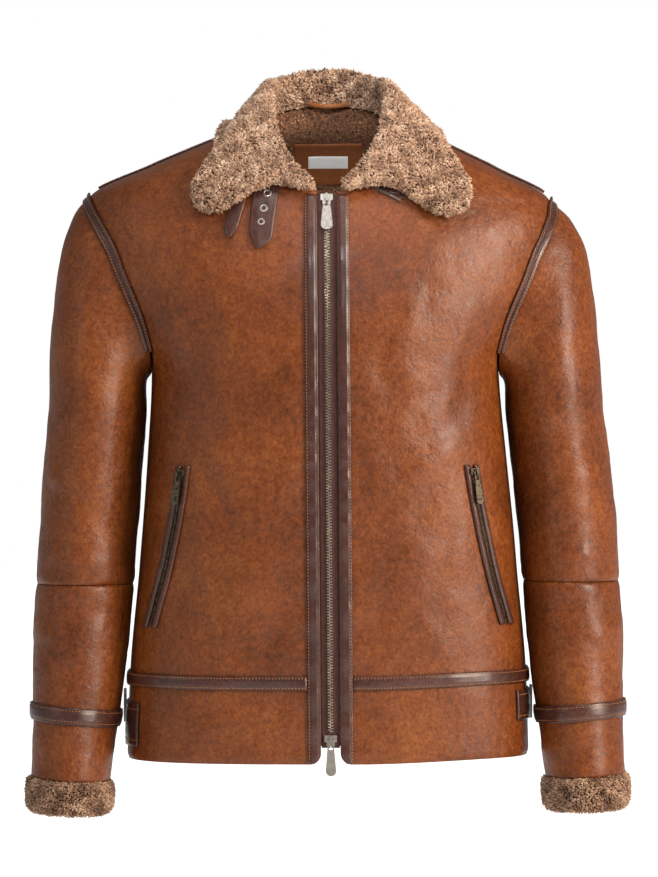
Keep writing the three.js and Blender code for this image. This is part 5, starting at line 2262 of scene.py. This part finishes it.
@dataclass
class Collar:
    """The collar, one pelt with its wool outside."""

    palette: Palette

    def section(self) -> np.ndarray:
        """Control points of the sections, from one front end round the neck to the other.

        Returns:
            Points, as (6, sections, 3).
        """
        seam, roll, fall, edge = (
            np.array([getattr(row, key) for row in COLLAR], float)
            for key in ("seam", "roll", "fall", "edge")
        )
        order = np.arange(len(COLLAR))
        out = unit((fall - roll) * [1, 1, 0])
        first = order < 2
        out[first] = unit(np.stack([0.75 * order, -np.ones(len(order)), 0 * order], -1))[first]
        drop = (ROLL * (0.8 + 0.4 * order / (len(COLLAR) - 1)))[:, None] * [0, 0, 1]
        half = np.stack(
            [seam, roll - out * ROLL - drop, roll, roll + out * ROLL - drop, fall, edge]
        )
        left = half.copy()
        wider = np.array([row.wider for row in COLLAR])
        left[4:, :, 0] += np.array([[0.5], [1.0]]) * wider
        return np.concatenate([half[:, :-1] * [-1, 1, 1], left[:, ::-1]], axis=1)

    def grid(self) -> Grid:
        """The wool's surface, at rest on the body.

        Returns:
            The grid: rows round the neck, columns from the seam to the outer edge.
        """
        curves = catmull_rom(self.section(), 60).transpose(1, 0, 2)
        across = evenly(curves, COLLAR_ACROSS)
        rows = catmull_rom(across, COLLAR_STATIONS)
        for _ in range(2):
            inner = (2 * rows[1:-1] + rows[:-2] + rows[2:]) / 4
            rows = np.concatenate([rows[:1], inner, rows[-1:]])
        rough = Grid.faced(rows, -1)
        under = rough.lifted(-PILE).points
        push = np.zeros_like(rows)
        for facing in Facing:
            here = (rows[..., 1] < 0) == (facing is Facing.FRONT)
            slope = TORSO_FORM.gradient(under, facing)
            clear = TORSO_FORM.fill(under, facing) / np.linalg.norm(slope, axis=-1)
            near = smooth(NECK_TOP_Z, NECK_TOP_Z - NECK_FADE, under[..., 2])
            wanted = COLLAR_LIFT + RIDGE_LIFT * np.exp(-((under[..., 1] / RIDGE_HALF) ** 2))
            away = (np.maximum(0.0, wanted - clear) * near)[..., None] * unit(slope)
            push = np.where(here[..., None], away, push)
        push[:, :FALL_START] = 0.0
        fine = refine(rows + push, 5)
        fine = refine(fine.transpose(1, 0, 2), 5).transpose(1, 0, 2)
        return Grid.faced(fine, -1)

    def build(self) -> None:
        """The pelt and its wool."""
        grid = self.grid()
        lumps = 0.8 * ripple(grid.points, 23.0) + 0.45 * ripple(grid.points[..., [1, 2, 0]], 9.0)
        skin = grid.lifted(lumps - 3.9)
        settled = skin.settled()
        materials = [self.palette.neck_wool, self.palette.skin]
        piece = wall("collar_pelt", settled, PILE - 3.9 + lumps, materials, lining=1)
        dress(piece, "shearling", "collar")
        declare(skin)
        beds: list[Grid] = [settled]
        turn = np.linspace(0.12, 0.6, 4)[:, None, None] * math.pi
        deep = np.linspace(0.0, PILE - 4.6, 4)[:, None, None]
        for line, next_line in (
            (settled.at_edge(1, -1), settled.at_edge(1, -3)),
            (settled.at_edge(0, 0), settled.at_edge(0, 2)),
            (settled.at_edge(0, -1), settled.at_edge(0, -3)),
        ):
            foot, up = line
            out = unit(foot - next_line[0])
            lip = unit(np.cos(turn) * up + np.sin(turn) * out)
            beds.append(Grid(foot - up * deep, lip))
        counts = (31000, 2600, 700, 700)
        for side in Side:
            wool = Wool(31 + side.value, self.palette.wool)

            def here(foot: np.ndarray, sign: int = side.value) -> np.ndarray:
                """Places on one side of the wearer.

                Args:
                    foot: Feet of the tufts.
                    sign: Sign of the side.

                Returns:
                    Whether each may carry a tuft.
                """
                return foot[:, 0] * sign >= 0

            plan = [(bed, count, here) for bed, count in zip(beds, counts)]
            wool.grow("collar_wool_" + side.word, plan, 4.7, 2.9, tone=0.5)


@dataclass
class Fastenings:
    """Zips, pockets, straps and what is sewn inside the neck."""

    palette: Palette
    trimmer: Trimmer

    def teeth(
        self,
        name: str,
        nodes: Sequence[str],
        heights: np.ndarray,
        middle: Callable[[np.ndarray], np.ndarray],
        reach: float,
        under: float,
        thick: float,
        material: bpy.types.Material,
        slot: str,
    ) -> None:
        """A chain of meshed teeth on the skin, each a block with a narrower top.

        Args:
            name: Name of the piece.
            nodes: Solids that it replaces.
            heights: Height of each tooth.
            middle: Sideways middle of the chain at each height.
            reach: Half of the chain's width.
            under: Height of the underside over the skin.
            thick: Thickness.
            material: The metal.
            slot: The record's slot.
        """
        pitch = abs(heights[1] - heights[0])
        sign = np.where(np.arange(len(heights)) % 2 == 0, 1.0, -1.0)
        corners = []
        for lift, taper in ((under, 0.0), (under + thick * 0.62, 0.0), (under + thick, 0.34)):
            for along, across in ((-1, 0), (1, 0), (1, 1), (-1, 1)):
                inner, outer = -0.62 * sign, sign * reach
                near = inner + sign * taper
                far = outer - sign * taper
                x = middle(heights) + (near if across == 0 else far)
                z = heights + along * pitch * (0.42 - 0.2 * taper)
                corners.append(TORSO_FORM.over(x, z, Facing.FRONT, lift)[0])
        places = TORSO_FORM.settle(np.stack(corners, axis=1))
        ring = [(0, 1, 5, 4), (1, 2, 6, 5), (2, 3, 7, 6), (3, 0, 4, 7)]
        upper = [tuple(k + 4 for k in face) for face in ring]
        faces = np.array([*ring, *upper, (8, 9, 10, 11), (3, 2, 1, 0)])
        turned = np.where(
            (sign > 0)[:, None, None], faces[None], faces[None, :, ::-1]
        )
        first = places[0]
        out = first[8:].mean(axis=0) - first[:4].mean(axis=0)
        top = first[turned[0][8]]
        if np.dot(np.cross(top[1] - top[0], top[2] - top[1]), out) < 0:
            turned = turned[:, :, ::-1]
        number = turned + 12 * np.arange(len(heights))[:, None, None]
        piece = build_mesh(
            name, places.reshape(-1, 3), [number.reshape(-1, 4)], [material], shade_smooth=False
        )
        dress(piece, slot, *nodes)

    def zip_chain(self) -> None:
        """Teeth of the main zip."""
        self.teeth(
            "zip_teeth",
            ["zip_chain_left", "zip_chain_right"],
            np.arange(-624.0, -93.0, 1.45),
            zip_middle,
            2.9,
            0.9,
            2.2,
            self.palette.teeth,
            "old_silver",
        )

    def pocket(self, side: Side) -> None:
        """A slanted pocket: two welts with a chain between them.

        Args:
            side: Side of the wearer.
        """
        top_x, top_z, foot_x, foot_z, bow, welt, gap = 146.0, -357.0, 181.0, -522.0, 4.0, 5.0, 2.2
        sign = side.value

        def middle(z: np.ndarray) -> np.ndarray:
            """Middle of the pocket at each height.

            Args:
                z: Heights.

            Returns:
                Sideways places.
            """
            t = (top_z - z) / (top_z - foot_z)
            return sign * (top_x + (foot_x - top_x) * t - bow * np.sin(np.pi * t))

        heights = spaced(foot_z, top_z, 2.6)
        for name, near in (("pocket_welt_fore_", -gap - welt), ("pocket_welt_rear_", gap)):
            node = name + side.word
            grid = self.trimmer.skin_grid(
                heights,
                lambda z, near=near: middle(z) + sign * near,
                lambda z, near=near: middle(z) + sign * (near + welt),
                8,
            )
            out = ((0.78, False),) if near > 0 else ((0.22, False),)
            self.trimmer.strip(
                "strip_" + node, grid, [node], "front_" + side.word, high=1.1, groove=0.3, sewn=out
            )
        self.teeth(
            "pocket_teeth_" + side.word,
            ["pocket_chain_" + side.word],
            np.arange(foot_z + 3, top_z - 16, 1.35),
            middle,
            gap - 0.3,
            LIFT,
            1.6,
            self.palette.brass,
            "aged_brass",
        )

    def strap(
        self,
        node: str,
        table: Sequence[tuple[float, float, float]],
        lift: float,
        lean: float,
    ) -> Grid:
        """A strap that hangs on the front from under the collar.

        Args:
            node: Solid that it replaces.
            table: Height and both sides of each level.
            lift: Height of its underside at the top.
            lean: Rise across it for each millimetre.

        Returns:
            Its outer side.
        """
        rows = np.array(table)
        place = np.linspace(0, len(rows) - 1, (len(rows) - 1) * 6 + 1)
        z, start, stop = (np.interp(place, np.arange(len(rows)), rows[:, k]) for k in range(3))
        share = np.linspace(0.0, 1.0, 13)
        x = start[:, None] + (stop - start)[:, None] * share
        raised = lift + (place / len(rows))[:, None] * 2.5 + (x - start[:, None]) * lean
        grid = Grid(*TORSO_FORM.over(x, z[:, None], Facing.FRONT, raised))
        self.trimmer.strip(
            "strip_" + node,
            grid,
            [node],
            "front_right",
            lift=0.0,
            high=0.5,
            groove=0.25,
            sewn=((0.12, False), (0.88, False)),
        )
        return grid

    def eyelets(self) -> None:
        """Rings in the front strap, turned from a small profile."""
        soup = Soup()
        around = np.linspace(0, 2 * np.pi, 25)[:-1]
        section = np.linspace(0, 2 * np.pi, 11)[:-1]
        for x, z, wide in ((-61.5, -81.0, 9.0), (-65.0, -96.5, 8.4), (-67.5, -110.5, 7.6)):
            share = sum(z < row[0] for row in FRONT_STRAP) - 0.5
            lift = 0.9 + share / len(FRONT_STRAP) * 2.5 + STRIP + 0.6
            point, out = TORSO_FORM.over(np.array([x]), np.array([z]), Facing.FRONT, lift)
            point, out = TORSO_FORM.settle(point)[0], out[0]
            side = unit(np.cross(out, [0, 0, 1.0]))
            up = np.cross(side, out)
            middle, thick = wide * 0.385, wide * 0.125
            ring = middle + thick * np.cos(section)[None]
            flat = (
                np.cos(around)[:, None, None] * side + np.sin(around)[:, None, None] * up
            ) * ring[..., None]
            places = point + flat + (0.62 * np.sin(section))[None, :, None] * out
            number = np.arange(24 * 10).reshape(24, 10)
            step, turn = np.roll(number, -1, axis=0), np.roll(number, -1, axis=1)
            both = np.roll(step, -1, axis=1)
            soup.add(places, np.stack([number, step, both, turn], axis=-1))
        places = np.concatenate(soup.places)
        faces = np.concatenate(soup.faces)
        one = places[faces[0]]
        middle = places[:240].mean(axis=0)
        outward = np.cross(one[1] - one[0], one[2] - one[1])
        if np.dot(outward, one[0] - middle) < 0:
            faces = faces[:, ::-1]
        piece = build_mesh("eyelets", places, [faces], [self.palette.silver])
        dress(piece, "old_silver", "collar_eyelet_1", "collar_eyelet_2", "collar_eyelet_3")

    def buckle_strap(self) -> None:
        """The buckle's strap, that lies under its frame."""
        z = np.linspace(-62.0, -80.0, 10)
        grid = self.trimmer.skin_grid(
            z, lambda h: 53.0 + 0 * h, lambda h: 79.0 + 0 * h, 14, lift=0.0
        )
        self.trimmer.strip(
            "strip_buckle", grid, ["buckle_strap"], "front_left", lift=0.4, high=0.5, sewn=()
        )

    def side_tab(self, side: Side) -> None:
        """The tab of a side adjuster, round the side of the hem band.

        Args:
            side: Side of the wearer.
        """
        high, middle = (44.0, -622.0) if side is Side.RIGHT else (30.0, -606.0)
        z = np.linspace(middle - high / 2, middle + high / 2, 15)
        start, depth = np.full_like(z, 60.0), np.full_like(z, SEAM)
        front = TORSO_FORM.smooth_rows(side, Facing.FRONT, z, start, depth, 60)[:, -21:]
        back = TORSO_FORM.smooth_rows(side, Facing.BACK, z, start, depth, 60)[:, -21:][:, ::-1]
        one = Grid(*TORSO_FORM.on_skin(front, Facing.FRONT))
        two = Grid(*TORSO_FORM.on_skin(back, Facing.BACK))
        points = np.concatenate([one.points, two.points[:, 1:]], axis=1).transpose(1, 0, 2)
        normals = np.concatenate([one.normals, two.normals[:, 1:]], axis=1).transpose(1, 0, 2)
        node = "side_tab_" + side.word
        self.trimmer.strip(
            "strip_" + node, Grid(points, normals), [node], "hem_back", high=0.6, groove=0.5
        )

    def inside(self, x: np.ndarray, z: np.ndarray, depth: float) -> Grid:
        """The wool's inner side at the back of the neck.

        Args:
            x: Sideways places.
            z: Heights.
            depth: How far inside it.

        Returns:
            The grid, facing into the coat.
        """
        points, out = TORSO_FORM.over(x, z, Facing.BACK, -PELT - depth)
        return Grid(points, -out)

    def patch(
        self,
        node: str,
        half: float,
        top: float,
        foot: float,
        turn: float,
        depth: float,
        thick: float,
        material: bpy.types.Material,
        slot: str,
    ) -> Grid:
        """A flat piece sewn on the wool inside the neck.

        Args:
            node: Solid that it replaces.
            half: Half of its width.
            top: Height of its top edge.
            foot: Height of its lower edge.
            turn: Radius of its lower corners.
            depth: How far its underside is inside the wool.
            thick: Thickness.
            material: Its material.
            slot: The record's slot.

        Returns:
            Its shown side.
        """
        low = foot + turn * (1 - np.cos(np.linspace(0, math.pi / 2, 9)))
        z = np.concatenate([low[:-1], spaced(low[-1], top, 2.2)])
        near = np.maximum(0.0, turn - (z - foot))
        wide = half - (turn - np.sqrt(np.maximum(turn * turn - near * near, 0.0)))
        x = wide[:, None] * np.linspace(-1.0, 1.0, 29)
        edge = np.minimum(half - np.abs(x), np.minimum(z[:, None] - foot, top - z[:, None]))
        soft = -0.5 * np.exp(-((edge / 1.6) ** 2))
        grid = self.inside(x, z[:, None], depth + thick)
        shown = grid.lifted(soft)
        piece = wall(node + "_sheet", shown.settled(), thick + soft, [material])
        dress(piece, slot, node)
        declare(shown)
        return shown

    def neck(self) -> None:
        """Patch, bare label and hanger loop."""
        patch = self.patch(
            "neck_patch", 37.0, -12.0, -56.0, 12.0, 0.8, STRIP, self.palette.calf, "patch_leather"
        ).settled()
        columns = patch.points.shape[1]
        for column in (2, columns - 3):
            rows = slice(10, None)
            self.trimmer.dark.sew(
                patch.points[rows, column], patch.normals[rows, column], spacing=3.0, length=2.1
            )
        self.patch(
            "neck_label", 21.5, -25.0, -38.0, 0.01, 1.1 + STRIP, 0.8, self.palette.label,
            "label_cotton",
        )
        x = np.linspace(-22.0, 22.0, 41)
        sag = 1 - (x / 22.0) ** 2
        across = np.linspace(-1.0, 1.0, 9)
        points = stack(
            x[:, None],
            (48.0 - 7.0 * sag)[:, None] - 0.9 * (1 - across**2)[None],
            (23.0 - 3.0 * sag)[:, None] + 2.5 * across[None],
        )
        grid = Grid(points, np.broadcast_to([0.0, -1.0, 0.0], points.shape).copy())
        thick = np.full(points.shape[:2], STRIP)
        piece = wall("loop_band", grid, thick, [self.palette.loop])
        dress(piece, "loop_leather", "hanger_loop")
        declare(grid)


FRONT_STRAP = (
    (-70.0, -76.0, -48.0),
    (-82.0, -77.0, -50.0),
    (-100.0, -78.5, -53.0),
    (-118.0, -80.0, -55.5),
    (-126.0, -77.5, -56.5),
    (-133.0, -74.5, -61.0),
    (-138.0, -72.5, -70.0),
)
REAR_STRAP = (
    (-78.0, -95.0, -83.0),
    (-92.0, -98.0, -84.5),
    (-108.0, -103.0, -89.0),
    (-118.0, -105.0, -92.0),
    (-127.0, -101.0, -98.5),
)


@dataclass
class Studio:
    """Pale floor, plain pale light and the camera at the photo's angle."""

    floor_z: float = -0.93
    glow: float = 0.45
    room: float = 0.24

    def floor(self) -> None:
        """A wide pale floor, bright to the camera and dim as a lamp."""
        x, y = np.linspace(-12000.0, 12000.0, 9), np.linspace(-9000.0, 15000.0, 9)
        top = stack(x[None], y[:, None], np.full((9, 9), self.floor_z / METRES))
        places = np.concatenate([top.reshape(-1, 3), top.reshape(-1, 3) - [0.0, 0.0, 20.0]])
        outer, inner, edges = wall_faces(9, 9, ring=False)
        shader = Shader("pale_paper")
        seen = shader.add("ShaderNodeLightPath").outputs["Is Camera Ray"]
        shader.put(Base_Color=linear("ededeb"), Roughness=0.95, Specular_IOR_Level=0.0)
        shader.put(Emission_Color=linear("ffffff"))
        shader.put(Emission_Strength=shader.span(seen, 0.0, 1.0, self.glow, 1.0))
        faces = np.concatenate([outer, inner, edges])
        first = places[outer[0]]
        if np.cross(first[1] - first[0], first[2] - first[1])[2] < 0:
            faces = faces[:, ::-1]
        piece = build_mesh("floor", places, [faces], [shader.material])

    def lamp(
        self,
        name: str,
        place: tuple[float, float, float],
        aim: tuple[float, float, float],
        size: float,
        power: float,
        colour: str,
    ) -> None:
        """A square soft lamp.

        Args:
            name: Name of the lamp.
            place: Where it hangs.
            aim: Where it points.
            size: Side of its square.
            power: Watts.
            colour: Colour of its light.
        """
        data = bpy.data.lights.new(name, "AREA")
        data.shape, data.size, data.energy = "SQUARE", size, power
        data.color = linear(colour)[:3]
        lamp = bpy.data.objects.new(name, data)
        lamp.location = place
        direction = Vector(aim) - Vector(place)
        lamp.rotation_euler = direction.to_track_quat("-Z", "Y").to_euler()
        bpy.context.scene.collection.objects.link(lamp)

    def snoot(self) -> None:
        """A narrow soft lamp that reaches into the open neck."""
        data = bpy.data.lights.new("neck_lamp", "SPOT")
        data.energy, data.spot_size, data.spot_blend = 900.0, math.radians(3.6), 0.7
        data.shadow_soft_size = 0.16
        lamp = bpy.data.objects.new("neck_lamp", data)
        lamp.location = (0.12, -3.3, 0.75)
        direction = Vector((0.0, 0.06, -0.02)) - lamp.location
        lamp.rotation_euler = direction.to_track_quat("-Z", "Y").to_euler()
        bpy.context.scene.collection.objects.link(lamp)

    def light(self) -> None:
        """Key from the viewer's right, fill from the left, top light and a pale world."""
        self.snoot()
        self.lamp("key", (2.2, -1.8, 0.75), (0.15, 0.0, -0.25), 1.1, 92.0, "ffeedd")
        self.lamp("fill", (-2.8, -1.7, 0.9), (-0.1, 0.0, -0.1), 1.6, 10.0, "fff6ec")
        self.lamp("low", (2.3, -1.5, -0.35), (0.28, 0.0, -0.4), 0.6, 16.0, "fff0e2")
        self.lamp("top", (0.1, -1.3, 1.9), (0.0, 0.0, -0.1), 1.0, 22.0, "ffffff")
        world = bpy.data.worlds.new("pale_room")
        world.use_nodes = True
        tree = world.node_tree
        seen = tree.nodes.new("ShaderNodeLightPath")
        level = tree.nodes.new("ShaderNodeMapRange")
        level.inputs["To Min"].default_value, level.inputs["To Max"].default_value = self.room, 1.0
        tree.links.new(seen.outputs["Is Camera Ray"], level.inputs["Value"])
        tree.links.new(level.outputs["Result"], tree.nodes["Background"].inputs["Strength"])
        tree.nodes["Background"].inputs["Color"].default_value = linear("ffffff")
        bpy.context.scene.world = world
        bpy.context.scene.view_settings.view_transform = "Standard"

    def camera(self) -> None:
        """Camera at the photo's angle and distance."""
        data = bpy.data.cameras.new("camera")
        data.sensor_fit, data.sensor_width = "AUTO", 36.0
        data.lens = 36.0 * 4.2 / (877 * 1.04 * METRES)
        data.clip_end = 100.0
        camera = bpy.data.objects.new("camera", data)
        camera.location = (0.00104, -4.2, -0.329)
        camera.rotation_euler = (math.pi / 2, 0.0, 0.0)
        bpy.context.scene.collection.objects.link(camera)
        bpy.context.scene.camera = camera


METAL_NODES = {
    "silver": (
        "zip_slider_top",
        "zip_pull_top",
        "zip_slider_bottom",
        "zip_pull_bottom",
        "buckle_frame",
        "side_buckle_left",
        "side_buckle_right",
    ),
    "brass": (
        "pocket_slider_left",
        "pocket_pull_left",
        "pocket_slider_right",
        "pocket_pull_right",
    ),
}


def finish_metal(nodes: dict[str, bpy.types.Object], palette: Palette) -> None:
    """Give the hard solids that stay their metals.

    Args:
        nodes: The solids by name.
        palette: Materials.
    """
    for kind, names in METAL_NODES.items():
        material = palette.silver if kind == "silver" else palette.brass
        for name in names:
            mesh = nodes[name].data
            mesh.materials.clear()
            mesh.materials.append(material)


def neck_wool(shell: Shell, back: Grid, palette: Palette) -> None:
    """Clipped wool on the inner side of the back and fronts round the neck.

    Args:
        shell: The body's panels.
        back: Outer side of the back.
        palette: Materials.
    """
    inner = back.lifted(1.6 - PELT)
    inside = Grid(inner.points, -inner.normals).settled()

    def clear(foot: np.ndarray) -> np.ndarray:
        """Places above the chest and off the leather patch.

        Args:
            foot: Feet of the tufts.

        Returns:
            Whether each may carry a tuft.
        """
        patch = (np.abs(foot[:, 0]) < 37.5) & (foot[:, 2] < -11) & (foot[:, 2] > -57)
        return (foot[:, 2] > -135) & ~patch & (np.abs(foot[:, 0]) < 120)

    rows = back.points[:, 0, 2] > -150
    bed = Grid(inside.points[rows], inside.normals[rows])
    wool = Wool(77, palette.neck_wool)
    wool.grow("neck_wool", [(bed, 9000, clear)], 2.6, 2.3, lean=0.6, tone=0.4)
    LOG.debug("neck wool on %s", shell)


def main() -> None:
    """Build the coat and its studio."""
    logging.basicConfig(level=logging.INFO, format="%(name)s: %(message)s")
    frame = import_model()
    palette = Palette.make()
    arms = {side: Arm(side) for side in Side}
    shell = Shell(palette)
    sleeves = Sleeves(palette, arms)
    bright, dark = Thread("tan_stitches", palette.thread), Thread("dark_stitches", palette.dark_thread)
    trimmer = Trimmer(palette, bright, dark)
    fastenings = Fastenings(palette, trimmer)
    back = shell.back()[1]
    shell.hem()
    for side in Side:
        shell.front(side)
        sleeves.build(side)
        sleeves.cuff(side, Wool(51 + side.value, palette.wool))
        trimmer.armhole(arms[side])
        trimmer.shoulder(side)
        trimmer.sleeve_band(arms[side])
        fastenings.pocket(side)
        fastenings.side_tab(side)
    LOG.info("panels and sleeves are built")
    Collar(palette).build()
    trimmer.plackets()
    trimmer.waist(shell)
    fastenings.zip_chain()
    fastenings.strap("collar_strap_front", FRONT_STRAP, 0.9, 0.0)
    fastenings.strap("collar_strap_rear", REAR_STRAP, 0.8, 0.1)
    fastenings.eyelets()
    fastenings.buckle_strap()
    fastenings.neck()
    neck_wool(shell, back, palette)
    bright.finish()
    dark.finish()
    finish_metal(frame["nodes"], palette)
    studio = Studio()
    studio.floor()
    studio.light()
    studio.camera()


if __name__ == "__main__":
    main()
